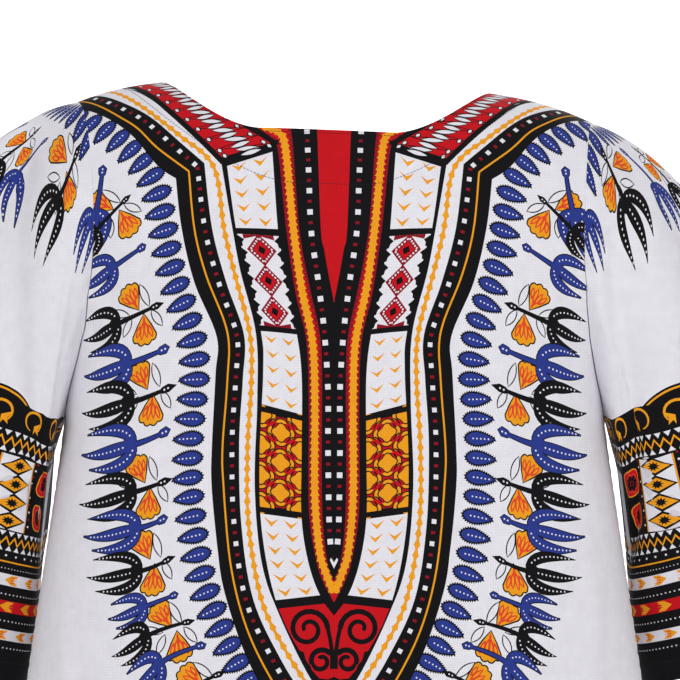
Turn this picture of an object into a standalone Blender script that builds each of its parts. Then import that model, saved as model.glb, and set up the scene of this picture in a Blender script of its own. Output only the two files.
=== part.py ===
"""Dashiki shirt as it hangs when worn: two body panels, two sleeves and the two neck facings.

Frame: +Z up, -Y is the wearer's back, +X is the wearer's right. The origin is the middle of the neck
opening, at the height of the shoulders where the shirt is carried. Run it with
blender --background --python part.py, or from Blender's text editor.

Each body panel is worked out from its flat cloth: a point (u, v) lies u across from the middle line
and v down, and panel_table() says where it hangs. Lengths of cloth are kept both ways.
"""

import math

import bpy
import numpy as np

# ---- Driving dimensions, metres ----
LENGTH = 0.745  # neck point to hem
CLOTH = 0.0012  # wall of a panel or a sleeve
FACING_CLOTH = 0.0010
SEAM_GAP = 0.0005  # each edge stands back this far from its seam line
LAYER_GAP = 0.0006  # panel to facing
FACING_GAP = 0.0011  # and the facings' shoulder ends this far

# Shoulder line, neck and facings
SHOULDER = 0.224  # middle line to armhole seam
SHOULDER_CREST = 0.0121  # height of the shoulder line at the middle
SHOULDER_DROP = 0.0258  # fall of the shoulder line to the armhole
SHOULDER_LEAN = 0.040  # the right shoulder hangs lower
NECK = 0.142  # half the neck width
NECK_MIDDLE = -0.0065  # the neck sits a little to the left of the print's middle line
NECK_FLAT = 0.40  # share of it where the neckline runs straight
NECK_BEND, NECK_STEEP = 1.7, 0.75  # how the neckline bends, and how steeply it meets the shoulder
BACK_NECK = 0.091  # depth of the back neck, along the cloth
FRONT_NECK = 0.110
FACING_WIDTH = 0.036  # at the shoulder
FACING_FLAT = 0.16
FACING_DEPTH = 0.055  # at the middle
FACING_END = 0.020  # least height, at the facing's two ends
SLIT = 0.130  # slit in the front neck
TONGUE = 0.085  # the front facing goes on below the slit
TONGUE_HALF = 0.060

# Body
SIDE_POWER = 2.5  # how late the cloth turns from back to side
RIDGE_POWER = 3.0  # how soon it turns down from the shoulder line
UNDERARM = 0.255
ARMHOLE_HOLLOW = {-1: 0.019, 1: 0.010}
TURN_LENGTH = 0.25  # cloth below the shoulder line before the sides are fully turned

# Half width of a body panel, cut flat, and where its sides open: place v, slope
CHEST_HALF = 0.2835
FLARES = ((0.262, 0.190), (0.520, -0.114))
FLARE_SOFTNESS = 0.03

# Long soft folds of the body that open towards the hem: place across, width, depth at the hem, start
BODY_FOLDS = {
    "back": (
        (-0.262, 0.030, 0.010, 0.30),
        (-0.165, 0.034, -0.007, 0.42),
        (-0.060, 0.040, 0.006, 0.46),
        (0.045, 0.034, -0.006, 0.48),
        (0.150, 0.036, 0.008, 0.43),
        (0.255, 0.030, -0.009, 0.32),
    ),
    "front": (
        (-0.270, 0.028, -0.009, 0.30),
        (-0.180, 0.036, 0.009, 0.36),
        (-0.080, 0.032, -0.007, 0.42),
        (0.020, 0.042, 0.007, 0.44),
        (0.125, 0.030, -0.008, 0.38),
        (0.215, 0.036, 0.010, 0.33),
    ),
}

# Sleeves: the cuff ring, and how a line of cloth leaves the armhole and arrives at the cuff
CUFF_CENTRE = (0.368, 0.060, -0.490)
CUFF_HALF_WIDTH = 0.098
CUFF_HALF_DEPTH = 0.052
CUFF_TILT = math.radians(15)
# At the sleeve's top, back, under and front
LEAVE = {
    "left": ((0.43, 0.00, -0.07), (0.27, -0.05, -0.40), (0.10, 0.03, -0.26), (0.27, 0.08, -0.40)),
    "right": ((0.43, 0.00, -0.15), (0.27, -0.05, -0.40), (0.10, 0.03, -0.26), (0.27, 0.08, -0.40)),
}
ARRIVE = ((0.15, 0.05, -0.44), (0.12, 0.06, -0.38), (0.07, 0.04, -0.26), (0.12, 0.06, -0.38))

# Soft folds of the sleeves, each along a line on the sleeve: round 0 to 1 (0.25 is the back), along
# 0 (armhole) to 1 (cuff), at both ends of the line, then width as a share of the round, and height
SLEEVE_FOLDS = {
    "left": (
        (0.10, 0.10, 0.36, 0.46, 0.060, -0.008),
        (0.02, 0.16, 0.20, 0.60, 0.060, 0.005),
        (0.30, 0.50, 0.26, 1.00, 0.065, 0.005),
        (0.60, 0.20, 0.74, 0.80, 0.065, -0.008),
        (0.80, 0.15, 0.86, 0.90, 0.060, 0.006),
    ),
    "right": (
        (0.17, 0.12, 0.30, 0.62, 0.055, 0.007),
        (0.27, 0.06, 0.43, 0.50, 0.055, -0.009),
        (0.08, 0.30, 0.16, 0.75, 0.060, -0.005),
        (0.62, 0.25, 0.72, 0.85, 0.065, -0.008),
        (0.80, 0.20, 0.88, 1.00, 0.060, 0.006),
    ),
}

# Mesh steps
NECK_COLUMNS = 9  # each side of the slit
NECK_CLOSER = 1.6  # they draw together at the neck's ends, where the neckline is steep
SLIT_HALF = 0.015
SLIT_COLUMNS = 4  # each half of the front's slit
FACING_ROWS = 4
RIDGE_CLOSER = 1.6  # the rows draw together at the shoulder line, where the cloth turns most
ARMHOLE_ROWS = 8  # below the facing, down to the underarm
SIDE_ROWS = 7
SLEEVE_ROWS = 13
TABLE_STEP = 0.002
TABLE_HALF = 0.400
TABLE_SPARE = 0.100  # cloth below the hem that the tables still hold

COLOURS = {
    "printed": (0.80, 0.79, 0.83, 1.0),
    "sleeve": (0.74, 0.73, 0.77, 1.0),
    "facing": (0.84, 0.83, 0.86, 1.0),
}


def turn(share, power):
    """Cloth that turns through a right angle: how far it has gone sideways and along, at each share."""
    steps = np.linspace(0.0, 1.0, 801)
    angle = math.pi / 2 * steps**power
    rise = np.concatenate(([0.0], np.cumsum((np.sin(angle)[1:] + np.sin(angle)[:-1]) / 2))) / 800
    run = np.concatenate(([0.0], np.cumsum((np.cos(angle)[1:] + np.cos(angle)[:-1]) / 2))) / 800
    share = np.clip(share, 0.0, 1.0)
    return np.interp(share, steps, rise), np.interp(share, steps, run)


SIDE_RISE = float(turn(1.0, SIDE_POWER)[0])
RIDGE_RISE, RIDGE_RUN = (float(part) for part in turn(1.0, RIDGE_POWER))
RIDGE_LENGTH = CHEST_HALF * SIDE_RISE / RIDGE_RISE
RIDGE_LOSS = RIDGE_LENGTH * (1 - RIDGE_RUN)  # height that the turn over the shoulder takes up


def smooth(share):
    share = np.clip(share, 0.0, 1.0)
    return share * share * (3 - 2 * share)


def shoulder_height(u):
    u = np.clip(u, -SHOULDER, SHOULDER)
    return SHOULDER_CREST - SHOULDER_DROP * (u / SHOULDER) ** 4 - SHOULDER_LEAN * u


def shoulder_line(u):
    """The place v of the shoulder line on the flat cloth."""
    return -shoulder_height(u) - RIDGE_LOSS


def panel_half(v):
    half = CHEST_HALF
    for place, slope in FLARES:
        below = v - place
        half = half + slope * (np.sqrt(below**2 + FLARE_SOFTNESS**2) + below) / 2
    return half


def body_folds(face, u, v):
    out = np.zeros_like(u)
    for place, width, depth, start in BODY_FOLDS[face]:
        opening = np.clip((v - start) / (LENGTH - start), 0.0, 1.2) ** 1.5
        out += depth * opening * np.exp(-(((u - place) / width) ** 2))
    return out


def panel_table(face):
    """Where the cloth of the back or the front hangs, by its place across and below the shoulder line."""
    across = np.arange(-TABLE_HALF, TABLE_HALF + 1e-6, TABLE_STEP)
    below = np.arange(0.0, LENGTH + TABLE_SPARE, TABLE_STEP)
    u, drop = np.meshgrid(across, below, indexing="ij")
    v = drop + shoulder_line(u)
    half = panel_half(v)
    over = 1 - turn(1 - drop / RIDGE_LENGTH, RIDGE_POWER)[0] / RIDGE_RISE
    side = smooth(drop / TURN_LENGTH) * turn(np.abs(u) / half, SIDE_POWER)[0] / SIDE_RISE
    y = half * SIDE_RISE * (over - side)
    run_u = np.sqrt(np.clip(1 - np.gradient(y, TABLE_STEP, axis=0) ** 2, 0.0, 1.0))
    run_v = np.sqrt(np.clip(1 - np.gradient(y, TABLE_STEP, axis=1) ** 2, 0.0, 1.0))
    x = np.zeros_like(y)
    x[1:] = np.cumsum((run_u[1:] + run_u[:-1]) / 2, axis=0) * TABLE_STEP
    x -= x[len(across) // 2]
    z = shoulder_height(u)
    z[:, 1:] -= np.cumsum((run_v[:, 1:] + run_v[:, :-1]) / 2, axis=1) * TABLE_STEP
    y += body_folds(face, u, v)
    return np.stack([x, -y if face == "back" else y, z], axis=-1)


TABLES = {face: panel_table(face) for face in ("back", "front")}


def on_panel(face, u, v):
    """Points of the panel's outside at flat places (u, v)."""
    table = TABLES[face]
    i = np.clip((u + TABLE_HALF) / TABLE_STEP, 0, table.shape[0] - 1.001)
    j = np.clip((v - shoulder_line(u)) / TABLE_STEP, 0, table.shape[1] - 1.001)
    i0, j0 = i.astype(int), j.astype(int)
    fi, fj = (i - i0)[..., None], (j - j0)[..., None]
    low = table[i0, j0] * (1 - fi) + table[i0 + 1, j0] * fi
    high = table[i0, j0 + 1] * (1 - fi) + table[i0 + 1, j0 + 1] * fi
    return low * (1 - fj) + high * fj


def neckline(u, half, depth, flat=NECK_FLAT):
    """Depth of a neckline below the shoulder line, zero outside its half width."""
    share = np.abs(u - NECK_MIDDLE) / half
    share = np.clip((share - flat) / (1 - flat), 0.0, 1.0)
    return depth * (1 - share**NECK_BEND) ** NECK_STEEP


def top_edge(face, u):
    """The panel's top edge: the shoulder line, and the neckline with the front's slit."""
    depth = neckline(u, NECK, BACK_NECK if face == "back" else FRONT_NECK)
    if face == "front":
        depth = depth + SLIT * np.clip(1 - np.abs(u) / SLIT_HALF, 0.0, 1.0)
    return shoulder_line(u) + depth


def facing_edge(face, u):
    """The facing's lower edge, which goes on across the panel as a row of its mesh."""
    neck = BACK_NECK if face == "back" else FRONT_NECK
    depth = neckline(u, NECK + FACING_WIDTH, neck + FACING_DEPTH, FACING_FLAT)
    if face == "front":
        share = np.clip(np.abs(u) / TONGUE_HALF, 0.0, 1.0)
        depth = depth + TONGUE * (1 + np.cos(math.pi * share)) / 2
    return shoulder_line(u) + np.maximum(depth, FACING_END)


def armhole_half(v, side):
    """Half width of the panel at the armhole, and below it the side seam."""
    top = float(shoulder_line(side * SHOULDER))
    share = np.clip((v - top) / (UNDERARM - top), 0.0, 1.0)
    hollow = ARMHOLE_HOLLOW[side] * np.sin(math.pi * share**0.8)
    armhole = SHOULDER - hollow + (panel_half(UNDERARM) - SHOULDER) * share**5
    return np.where(v < UNDERARM, armhole, panel_half(v))


def hem_edge(face, u):
    """The place v where the hem is level."""
    v = np.full_like(u, LENGTH)
    return v + on_panel(face, u, v)[..., 2] + LENGTH


def panel_columns(face):
    """Places u of the panel's columns at its top, closer together across the front's slit."""
    left, right = NECK_MIDDLE - NECK, NECK_MIDDLE + NECK
    slit = SLIT_COLUMNS if face == "front" else 1
    stretches = (
        (-SHOULDER, left - FACING_WIDTH, 2, 1.0),
        (left - FACING_WIDTH, left, 3, 1.0),
        (left, -SLIT_HALF, NECK_COLUMNS, NECK_CLOSER),
        (-SLIT_HALF, SLIT_HALF, 2 * slit, 1.0),
        (right, SLIT_HALF, NECK_COLUMNS, NECK_CLOSER),
        (right, right + FACING_WIDTH, 3, 1.0),
        (right + FACING_WIDTH, SHOULDER, 3, 1.0),
    )
    places = [SHOULDER]
    for start, end, count, closer in stretches:
        places += [start + (end - start) * (step / count) ** closer for step in range(count)]
    return np.unique(np.round([*places, SLIT_HALF], 6))


def panel_flat(face):
    """Flat places of the panel's mesh, one row of columns at a time from the shoulder to the hem."""
    top_u = panel_columns(face)
    share = top_u / SHOULDER
    top, facing = top_edge(face, top_u), facing_edge(face, top_u)
    hem = hem_edge(face, share * panel_half(LENGTH))
    under = np.full_like(top, UNDERARM)
    bands = (
        (top, facing, FACING_ROWS, RIDGE_CLOSER),
        (facing, under, ARMHOLE_ROWS, 1.0),
        (under, hem, SIDE_ROWS, 1.0),
    )
    rows = []
    for start, end, count, closer in bands:
        rows += [start + (end - start) * (step / count) ** closer for step in range(count)]
    rows.append(hem)
    flat = []
    for v in rows:
        half = np.where(share < 0, armhole_half(v, -1), armhole_half(v, 1))
        flat.append(np.stack([share * half, v], axis=-1))
    return np.array(flat)


def stand_back(flat):
    """Moves the panel's shoulder, armhole and side edges back from their seam lines."""
    flat = flat.copy()
    shoulder = np.abs(flat[0, :, 0] - NECK_MIDDLE) > NECK - 1e-6
    flat[0, shoulder, 1] += SEAM_GAP
    flat[:, 0, 0] += SEAM_GAP
    flat[:, -1, 0] -= SEAM_GAP
    return flat


def grid_normals(points, closed=False):
    """Normals of a grid of rows and columns, pointing out of the shirt for rows that run down."""
    if closed:
        across = np.roll(points, -1, axis=1) - np.roll(points, 1, axis=1)
    else:
        across = np.gradient(points, axis=1)
    normals = np.cross(np.gradient(points, axis=0), across)
    return normals / np.linalg.norm(normals, axis=-1, keepdims=True)


def panel_points(face):
    """The outside of a panel, and its normals."""
    flat = stand_back(panel_flat(face))
    points = on_panel(face, flat[..., 0], flat[..., 1])
    step = 0.001
    du = on_panel(face, flat[..., 0] + step, flat[..., 1]) - on_panel(face, flat[..., 0] - step, flat[..., 1])
    dv = on_panel(face, flat[..., 0], flat[..., 1] + step) - points
    normals = np.cross(dv, du) * (1.0 if face == "front" else -1.0)
    return points, -normals / np.linalg.norm(normals, axis=-1, keepdims=True)


def armhole_ring(side):
    """The armhole's seam line: shoulder, down the back, underarm, up the front."""
    column = 0 if side < 0 else -1
    rows = FACING_ROWS + ARMHOLE_ROWS + 1
    edges = {}
    for face in ("back", "front"):
        flat = panel_flat(face)[:rows, column]
        edges[face] = on_panel(face, flat[:, 0], flat[:, 1])
    top = (edges["back"][0] + edges["front"][0]) / 2
    under = (edges["back"][-1] + edges["front"][-1]) / 2
    return np.array([top, *edges["back"][1:-1], under, *edges["front"][-2:0:-1]])


def between_quarters(values, angle):
    """Turns a value at the top, back, under and front of the sleeve into one all the way round."""
    one, two = np.cos(angle), np.cos(2 * angle)
    weights = (
        (1 + 2 * one + two) / 4,
        (1 + 2 * np.sin(angle) - two) / 4,
        (1 - 2 * one + two) / 4,
        (1 - 2 * np.sin(angle) - two) / 4,
    )
    return sum(weight[:, None] * np.array(value) for weight, value in zip(weights, values))


def cuff_ring(angle):
    out = np.array([math.cos(CUFF_TILT), 0.0, math.sin(CUFF_TILT)]) * CUFF_HALF_WIDTH
    back = np.array([0.0, -CUFF_HALF_DEPTH, 0.0])
    ring = np.cos(angle)[:, None] * out + np.sin(angle)[:, None] * back
    return np.array(CUFF_CENTRE) + ring


def sleeve_folds(name, around, along):
    out = np.zeros(np.broadcast(around, along).shape)
    for round_a, along_a, round_b, along_b, width, height in SLEEVE_FOLDS[name]:
        share = np.clip((along - along_a) / (along_b - along_a), 0.0, 1.0)
        middle = round_a + (round_b - round_a) * share
        away = (around - middle + 0.5) % 1.0 - 0.5
        ends = smooth((along - along_a) / 0.12 + 0.5) * smooth((along_b - along) / 0.12 + 1.0)
        out += height * ends * np.exp(-((away / width) ** 2))
    return out


def sleeve_points(name):
    """Rings of the sleeve from the armhole to the cuff, and their normals."""
    side = -1 if name == "left" else 1
    mirror = np.array([side, 1.0, 1.0])
    armhole = armhole_ring(side)
    around = np.arange(len(armhole)) / len(armhole)
    angle = 2 * math.pi * around
    leave = between_quarters(LEAVE[name], angle) * mirror
    arrive = between_quarters(ARRIVE, angle) * mirror
    cuff = cuff_ring(angle) * mirror
    start = armhole + leave / np.linalg.norm(leave, axis=-1, keepdims=True) * SEAM_GAP
    rings = []
    for t in np.linspace(0.0, 1.0, SLEEVE_ROWS + 1):
        rings.append(
            (2 * t**3 - 3 * t**2 + 1) * start
            + (t**3 - 2 * t**2 + t) * leave
            + (3 * t**2 - 2 * t**3) * cuff
            + (t**3 - t**2) * arrive
        )
    points = np.array(rings)
    normals = grid_normals(points, closed=True) * -side
    along = np.linspace(0.0, 1.0, SLEEVE_ROWS + 1)[:, None]
    lift = sleeve_folds(name, around[None, :], along) * smooth(along / 0.15)
    return points + normals * lift[..., None]


def material(name, colour):
    cotton = bpy.data.materials.new(name)
    cotton.use_nodes = True
    shader = cotton.node_tree.nodes["Principled BSDF"]
    shader.inputs["Base Color"].default_value = colour
    shader.inputs["Roughness"].default_value = 0.85
    shader.inputs["Metallic"].default_value = 0.0
    cotton.diffuse_color = colour
    return cotton


def cloth_wall(name, points, thickness, colour, outward, closed=False):
    """One piece of cloth: the grid of its outside, made into a wall by Solidify."""
    rows, columns = points.shape[:2]
    faces = []
    for row in range(rows - 1):
        for column in range(columns if closed else columns - 1):
            after = (column + 1) % columns
            corners = [
                row * columns + column,
                (row + 1) * columns + column,
                (row + 1) * columns + after,
                row * columns + after,
            ]
            faces.append(corners if outward > 0 else corners[::-1])
    mesh = bpy.data.meshes.new(name)
    mesh.from_pydata(points.reshape(-1, 3).tolist(), [], faces)
    mesh.materials.append(material(name + "_cotton", colour))
    mesh.shade_smooth()
    piece = bpy.data.objects.new(name, mesh)
    SHIRT.objects.link(piece)
    piece.parent = CARRIED
    wall = piece.modifiers.new("wall", "SOLIDIFY")
    wall.thickness = thickness
    wall.offset = -1.0
    return piece


for old in list(bpy.data.objects):
    bpy.data.objects.remove(old, do_unlink=True)
SHIRT = bpy.data.collections.new("dashiki_shirt")
bpy.context.scene.collection.children.link(SHIRT)
CARRIED = bpy.data.objects.new("wearer_shoulders", None)
SHIRT.objects.link(CARRIED)

for FACE, OUTWARD in (("back", 1), ("front", -1)):
    OUTSIDE, NORMALS = panel_points(FACE)
    cloth_wall(FACE + "_panel", OUTSIDE, CLOTH, COLOURS["printed"], OUTWARD)
    FACED = np.abs(panel_columns(FACE) - NECK_MIDDLE) < NECK + FACING_WIDTH + 1e-6
    INSIDE = (OUTSIDE - NORMALS * (CLOTH + LAYER_GAP))[: FACING_ROWS + 1, FACED]
    INSIDE[0, :, 1] = np.sign(INSIDE[1, :, 1]) * np.maximum(np.abs(INSIDE[0, :, 1]), FACING_GAP)
    cloth_wall("facing_" + FACE, INSIDE, FACING_CLOTH, COLOURS["facing"], OUTWARD)

for NAME, OUTWARD in (("left", 1), ("right", -1)):
    cloth_wall("sleeve_" + NAME, sleeve_points(NAME), CLOTH, COLOURS["sleeve"], OUTWARD, closed=True)
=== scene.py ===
"""The looks of a dashiki shirt as it hangs when worn: printed cotton, its reverse, creases and stitching.

Frame: metres, +Z up, -Y is the wearer's back, +X the wearer's right. The origin is the middle of the neck
opening at shoulder height. A print is drawn on flat cloth in millimetres: a place is one complex number,
across from the middle line plus 1j times the way down. Each piece is then laid where its cloth hangs.
"""

import math

import bpy
import numpy as np
from bpy.props import FloatProperty, FloatVectorProperty, PointerProperty
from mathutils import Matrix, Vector
from mathutils.geometry import delaunay_2d_cdt


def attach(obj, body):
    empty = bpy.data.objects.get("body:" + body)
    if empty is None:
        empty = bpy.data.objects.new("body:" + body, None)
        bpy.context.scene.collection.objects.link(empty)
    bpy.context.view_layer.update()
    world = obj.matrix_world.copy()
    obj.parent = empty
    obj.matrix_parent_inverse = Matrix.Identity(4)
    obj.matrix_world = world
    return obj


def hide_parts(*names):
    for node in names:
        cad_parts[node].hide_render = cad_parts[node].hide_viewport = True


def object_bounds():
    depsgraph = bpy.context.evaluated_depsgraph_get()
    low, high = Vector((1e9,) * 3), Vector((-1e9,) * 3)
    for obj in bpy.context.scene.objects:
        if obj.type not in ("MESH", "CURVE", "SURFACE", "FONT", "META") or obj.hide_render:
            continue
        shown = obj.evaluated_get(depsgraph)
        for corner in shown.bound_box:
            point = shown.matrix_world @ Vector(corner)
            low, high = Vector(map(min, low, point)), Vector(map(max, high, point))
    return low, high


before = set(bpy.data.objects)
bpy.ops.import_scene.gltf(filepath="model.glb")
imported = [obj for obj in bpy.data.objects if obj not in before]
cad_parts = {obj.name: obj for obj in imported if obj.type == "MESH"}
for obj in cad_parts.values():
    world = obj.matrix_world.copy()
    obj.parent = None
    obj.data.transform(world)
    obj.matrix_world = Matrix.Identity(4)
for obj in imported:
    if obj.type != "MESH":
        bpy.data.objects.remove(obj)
CAD_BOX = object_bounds()

bl_info = {
    "name": "Dashiki shirt",
    "version": (1, 0, 0),
    "blender": (4, 5, 0),
    "location": "3D View > Sidebar > Dashiki",
    "description": "Makes the printed cloth pieces of a dashiki shirt, its stitching and its studio",
    "category": "Add Mesh",
}

MM = 0.001

# ---- The shirt's cut and hang, metres: the sizes of its solids ----
LENGTH = 0.745
SHOULDER = 0.224
SHOULDER_CREST = 0.0121
SHOULDER_DROP = 0.0258
SHOULDER_LEAN = 0.040
NECK = 0.142
NECK_MIDDLE = -0.0065
NECK_FLAT = 0.40
NECK_BEND, NECK_STEEP = 1.7, 0.75
NECK_DEPTH = {"back": 0.091, "front": 0.110}
FACING_WIDTH = 0.036
FACING_FLAT = 0.16
FACING_DEPTH = 0.055
FACING_END = 0.020
SLIT = 0.130
SLIT_HALF = 0.015
TONGUE = 0.085
TONGUE_HALF = 0.060
SIDE_POWER = 2.5
RIDGE_POWER = 3.0
UNDERARM = 0.255
ARMHOLE_HOLLOW = {-1: 0.019, 1: 0.010}
TURN_LENGTH = 0.25
CHEST_HALF = 0.2835
FLARES = ((0.262, 0.190), (0.520, -0.114))
FLARE_SOFTNESS = 0.03

# Long soft folds: place across, half width, depth at the hem, start
BODY_FOLDS = {
    "back": (
        (-0.262, 0.030, 0.010, 0.30),
        (-0.165, 0.034, -0.007, 0.42),
        (-0.060, 0.040, 0.006, 0.46),
        (0.045, 0.034, -0.006, 0.48),
        (0.150, 0.036, 0.008, 0.43),
        (0.255, 0.030, -0.009, 0.32),
    ),
    "front": (
        (-0.270, 0.028, -0.009, 0.30),
        (-0.180, 0.036, 0.009, 0.36),
        (-0.080, 0.032, -0.007, 0.42),
        (0.020, 0.042, 0.007, 0.44),
        (0.125, 0.030, -0.008, 0.38),
        (0.215, 0.036, 0.010, 0.33),
    ),
}
# Short creases of a panel: from (across, down), to (across, down), half width, height
BODY_CREASES = {
    "back": (
        (-0.232, 0.130, -0.196, 0.178, 0.006, 0.0016),
        (-0.236, 0.165, -0.190, 0.205, 0.007, -0.0018),
        (-0.226, 0.205, -0.183, 0.232, 0.006, 0.0014),
        (0.236, 0.120, 0.205, 0.170, 0.007, 0.0014),
        (0.240, 0.180, 0.198, 0.222, 0.007, -0.0014),
        (-0.130, 0.330, -0.060, 0.348, 0.010, 0.0008),
        (0.055, 0.390, 0.150, 0.372, 0.012, -0.0009),
        (-0.240, 0.380, -0.225, 0.560, 0.012, 0.0016),
        (0.238, 0.350, 0.226, 0.540, 0.012, 0.0018),
        (-0.100, 0.560, 0.060, 0.585, 0.014, 0.0010),
        (0.110, 0.620, 0.240, 0.600, 0.014, 0.0011),
    ),
    "front": (
        (-0.236, 0.140, -0.186, 0.200, 0.008, 0.0020),
        (-0.240, 0.190, -0.170, 0.236, 0.008, -0.0020),
        (0.236, 0.130, 0.190, 0.190, 0.008, 0.0020),
        (0.240, 0.185, 0.180, 0.240, 0.008, -0.0018),
        (-0.150, 0.300, -0.020, 0.330, 0.012, 0.0010),
        (0.030, 0.430, 0.160, 0.405, 0.012, -0.0011),
        (-0.210, 0.520, -0.060, 0.560, 0.014, 0.0012),
        (0.080, 0.610, 0.250, 0.640, 0.014, 0.0012),
    ),
}

CUFF_CENTRE = (0.368, 0.060, -0.490)
CUFF_HALF_WIDTH = 0.098
CUFF_HALF_DEPTH = 0.052
CUFF_TILT = math.radians(15)
# At the sleeve's top, back, under and front
LEAVE = {
    "left": ((0.43, 0.00, -0.07), (0.27, -0.05, -0.40), (0.10, 0.03, -0.26), (0.27, 0.08, -0.40)),
    "right": ((0.43, 0.00, -0.15), (0.27, -0.05, -0.40), (0.10, 0.03, -0.26), (0.27, 0.08, -0.40)),
}
ARRIVE = ((0.15, 0.05, -0.44), (0.12, 0.06, -0.38), (0.07, 0.04, -0.26), (0.12, 0.06, -0.38))

# Folds of a sleeve: round (0.25 is the back) and along at both ends, half width as a share of the
# round, height. The last ones of each sleeve are short creases.
SLEEVE_FOLDS = {
    "left": (
        (0.10, 0.10, 0.36, 0.46, 0.060, -0.008),
        (0.02, 0.16, 0.20, 0.60, 0.060, 0.005),
        (0.30, 0.50, 0.26, 1.00, 0.065, 0.005),
        (0.60, 0.20, 0.74, 0.80, 0.065, -0.008),
        (0.80, 0.15, 0.86, 0.90, 0.060, 0.006),
        (0.30, 0.06, 0.40, 0.34, 0.016, 0.0022),
        (0.34, 0.30, 0.44, 0.42, 0.012, -0.0020),
        (0.24, 0.36, 0.36, 0.44, 0.012, 0.0018),
        (0.64, 0.10, 0.56, 0.50, 0.018, 0.0022),
    ),
    "right": (
        (0.17, 0.12, 0.30, 0.62, 0.055, 0.007),
        (0.27, 0.06, 0.43, 0.50, 0.055, -0.009),
        (0.08, 0.30, 0.16, 0.75, 0.060, -0.005),
        (0.62, 0.25, 0.72, 0.85, 0.065, -0.008),
        (0.80, 0.20, 0.88, 1.00, 0.060, 0.006),
        (0.16, 0.30, 0.26, 0.34, 0.012, 0.0020),
        (0.35, 0.20, 0.46, 0.46, 0.016, 0.0020),
        (0.66, 0.10, 0.58, 0.46, 0.018, -0.0022),
    ),
}

# ---- Steps of the meshes ----
TABLE_STEP = 0.002
TABLE_HALF = 0.400
TABLE_SPARE = 0.100
FACING_ROWS = 4
RIDGE_CLOSER = 1.6
ARMHOLE_ROWS = 8
SLEEVE_AROUND = 288
SLEEVE_ALONG = 140
EDGE_STEP = 4.0  # mm, along a piece's edge
EDGE_ROLL = 2.4  # mm, how far in from a seam the cloth starts to roll under
EDGE_DIP = 0.0005  # and how deep it goes
EDGE_CLEAR = 4.0  # mm, the mesh's own grid keeps this far from a piece's edge
ROW_SHARE = 0.866  # rows of a grid of even triangles, as a share of its step
STEEP_REACH = 0.012  # how far the neck's edge is steep from each shoulder
SHORTEST_EDGE = 0.02  # mm, a drawing's shorter edges and smaller shapes are left out
SMALLEST_SHAPE = 0.02
JOIN_WITHIN = 1e-4  # mm, corners this close become one
LAYER_GAP = 0.0002
FACING_STEP = 0.006
FACING_SHORT = 0.001  # each end of a facing stops this far short
FACING_SET_BACK = 0.0004  # and its top edge lies this far below the panel's

# ---- Rows of stitches: how far each stays in from its ends and from the edge it follows ----
FACING_ROW_ENDS, FACING_ROW_IN = 0.003, 0.004
NECK_ROW_ENDS, NECK_ROW_IN = 0.004, 0.0035
HEM_ROW_ENDS = 0.002
CUFF_ROW_HALF = 0.498  # of the way round, from the top line to the underarm seam
ROW_PLACES, CUFF_PLACES = 400, 300
# Rings of one stitch: share of its length, then radius and height as shares of half the thread
STITCH_RINGS = ((0.0, 0.35, -0.4), (0.18, 0.9, 0.3), (0.5, 1.0, 0.55), (0.82, 0.9, 0.3), (1.0, 0.35, -0.4))
STITCH_SIDES = 6

# ---- The edges of a panel that roll under at a seam: all but the hem and the neck ----
HEM_FREE = 0.03
NECK_FREE_ACROSS, NECK_FREE_DOWN = 140, 260  # mm

# ---- The studio ----
FLOOR_HALF = 1.9  # half the side of the floor
FLOOR_BELOW = 0.02  # how far under the hem it lies
CARD_HALF = 2.0  # half the side of the white card that stands far behind
CARD_AWAY = 7.5
CARD_GLOW = 1.2
CAMERA_ASIDE = 0.005
CAMERA_REACH = 50.0
SENSOR_WIDTH = 36.0  # mm
LIGHT_TARGET = (0.0, 0.0, -0.3)
# Soft boxes: name, place, share of the key light's power, side
SOFT_BOXES = (
    ("key", (0.9, -2.7, 1.0), 1.0, 1.6),
    ("fill", (-1.5, -2.3, 0.3), 0.4, 1.8),
    ("behind", (0.8, 2.2, 1.4), 1.0, 1.6),
)
PAPER, WHITE = "F7F7F7", "FFFFFF"

# ---- Colours, sRGB: the inks of the print, then the plain cloths and the thread, whose near-black is partly painted groove shade ----
COLOURS = {
    "cloth": "E8E6ED",
    "black": "0E0D10",
    "red": "C8101C",
    "dark_red": "8E0F22",
    "orange": "F0A01E",
    "flame": "E2482A",
    "blue": "2B3A8C",
    "reverse": "D9D6DE",
    "facing": "DEDCE3",
    # near-black thread of the stitching, also standing for the painted shade of the groove along each row of
    # stitches
    "thread": "2A2428",
}


def linear(code):
    """Linear colour of an sRGB hex code."""
    parts = [int(code[place : place + 2], 16) / 255 for place in (0, 2, 4)]
    parts = [part / 12.92 if part <= 0.04045 else ((part + 0.055) / 1.055) ** 2.4 for part in parts]
    return (*parts, 1.0)


# ======== Where the cloth hangs ========


def turn(share, power):
    """Cloth that turns through a right angle: how far it has gone sideways and along, at each share."""
    steps = np.linspace(0.0, 1.0, 801)
    angle = math.pi / 2 * steps**power
    rise = np.concatenate(([0.0], np.cumsum((np.sin(angle)[1:] + np.sin(angle)[:-1]) / 2))) / 800
    run = np.concatenate(([0.0], np.cumsum((np.cos(angle)[1:] + np.cos(angle)[:-1]) / 2))) / 800
    share = np.clip(share, 0.0, 1.0)
    return np.interp(share, steps, rise), np.interp(share, steps, run)


SIDE_RISE = float(turn(1.0, SIDE_POWER)[0])
RIDGE_RISE, RIDGE_RUN = (float(part) for part in turn(1.0, RIDGE_POWER))
RIDGE_LENGTH = CHEST_HALF * SIDE_RISE / RIDGE_RISE
RIDGE_LOSS = RIDGE_LENGTH * (1 - RIDGE_RUN)


def smooth(share):
    """A step from 0 to 1 that starts and ends level."""
    share = np.clip(share, 0.0, 1.0)
    return share * share * (3 - 2 * share)


def shoulder_height(u):
    """The height of the shoulder line, highest at the neck and a little lower on the right."""
    u = np.clip(u, -SHOULDER, SHOULDER)
    return SHOULDER_CREST - SHOULDER_DROP * (u / SHOULDER) ** 4 - SHOULDER_LEAN * u


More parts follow.
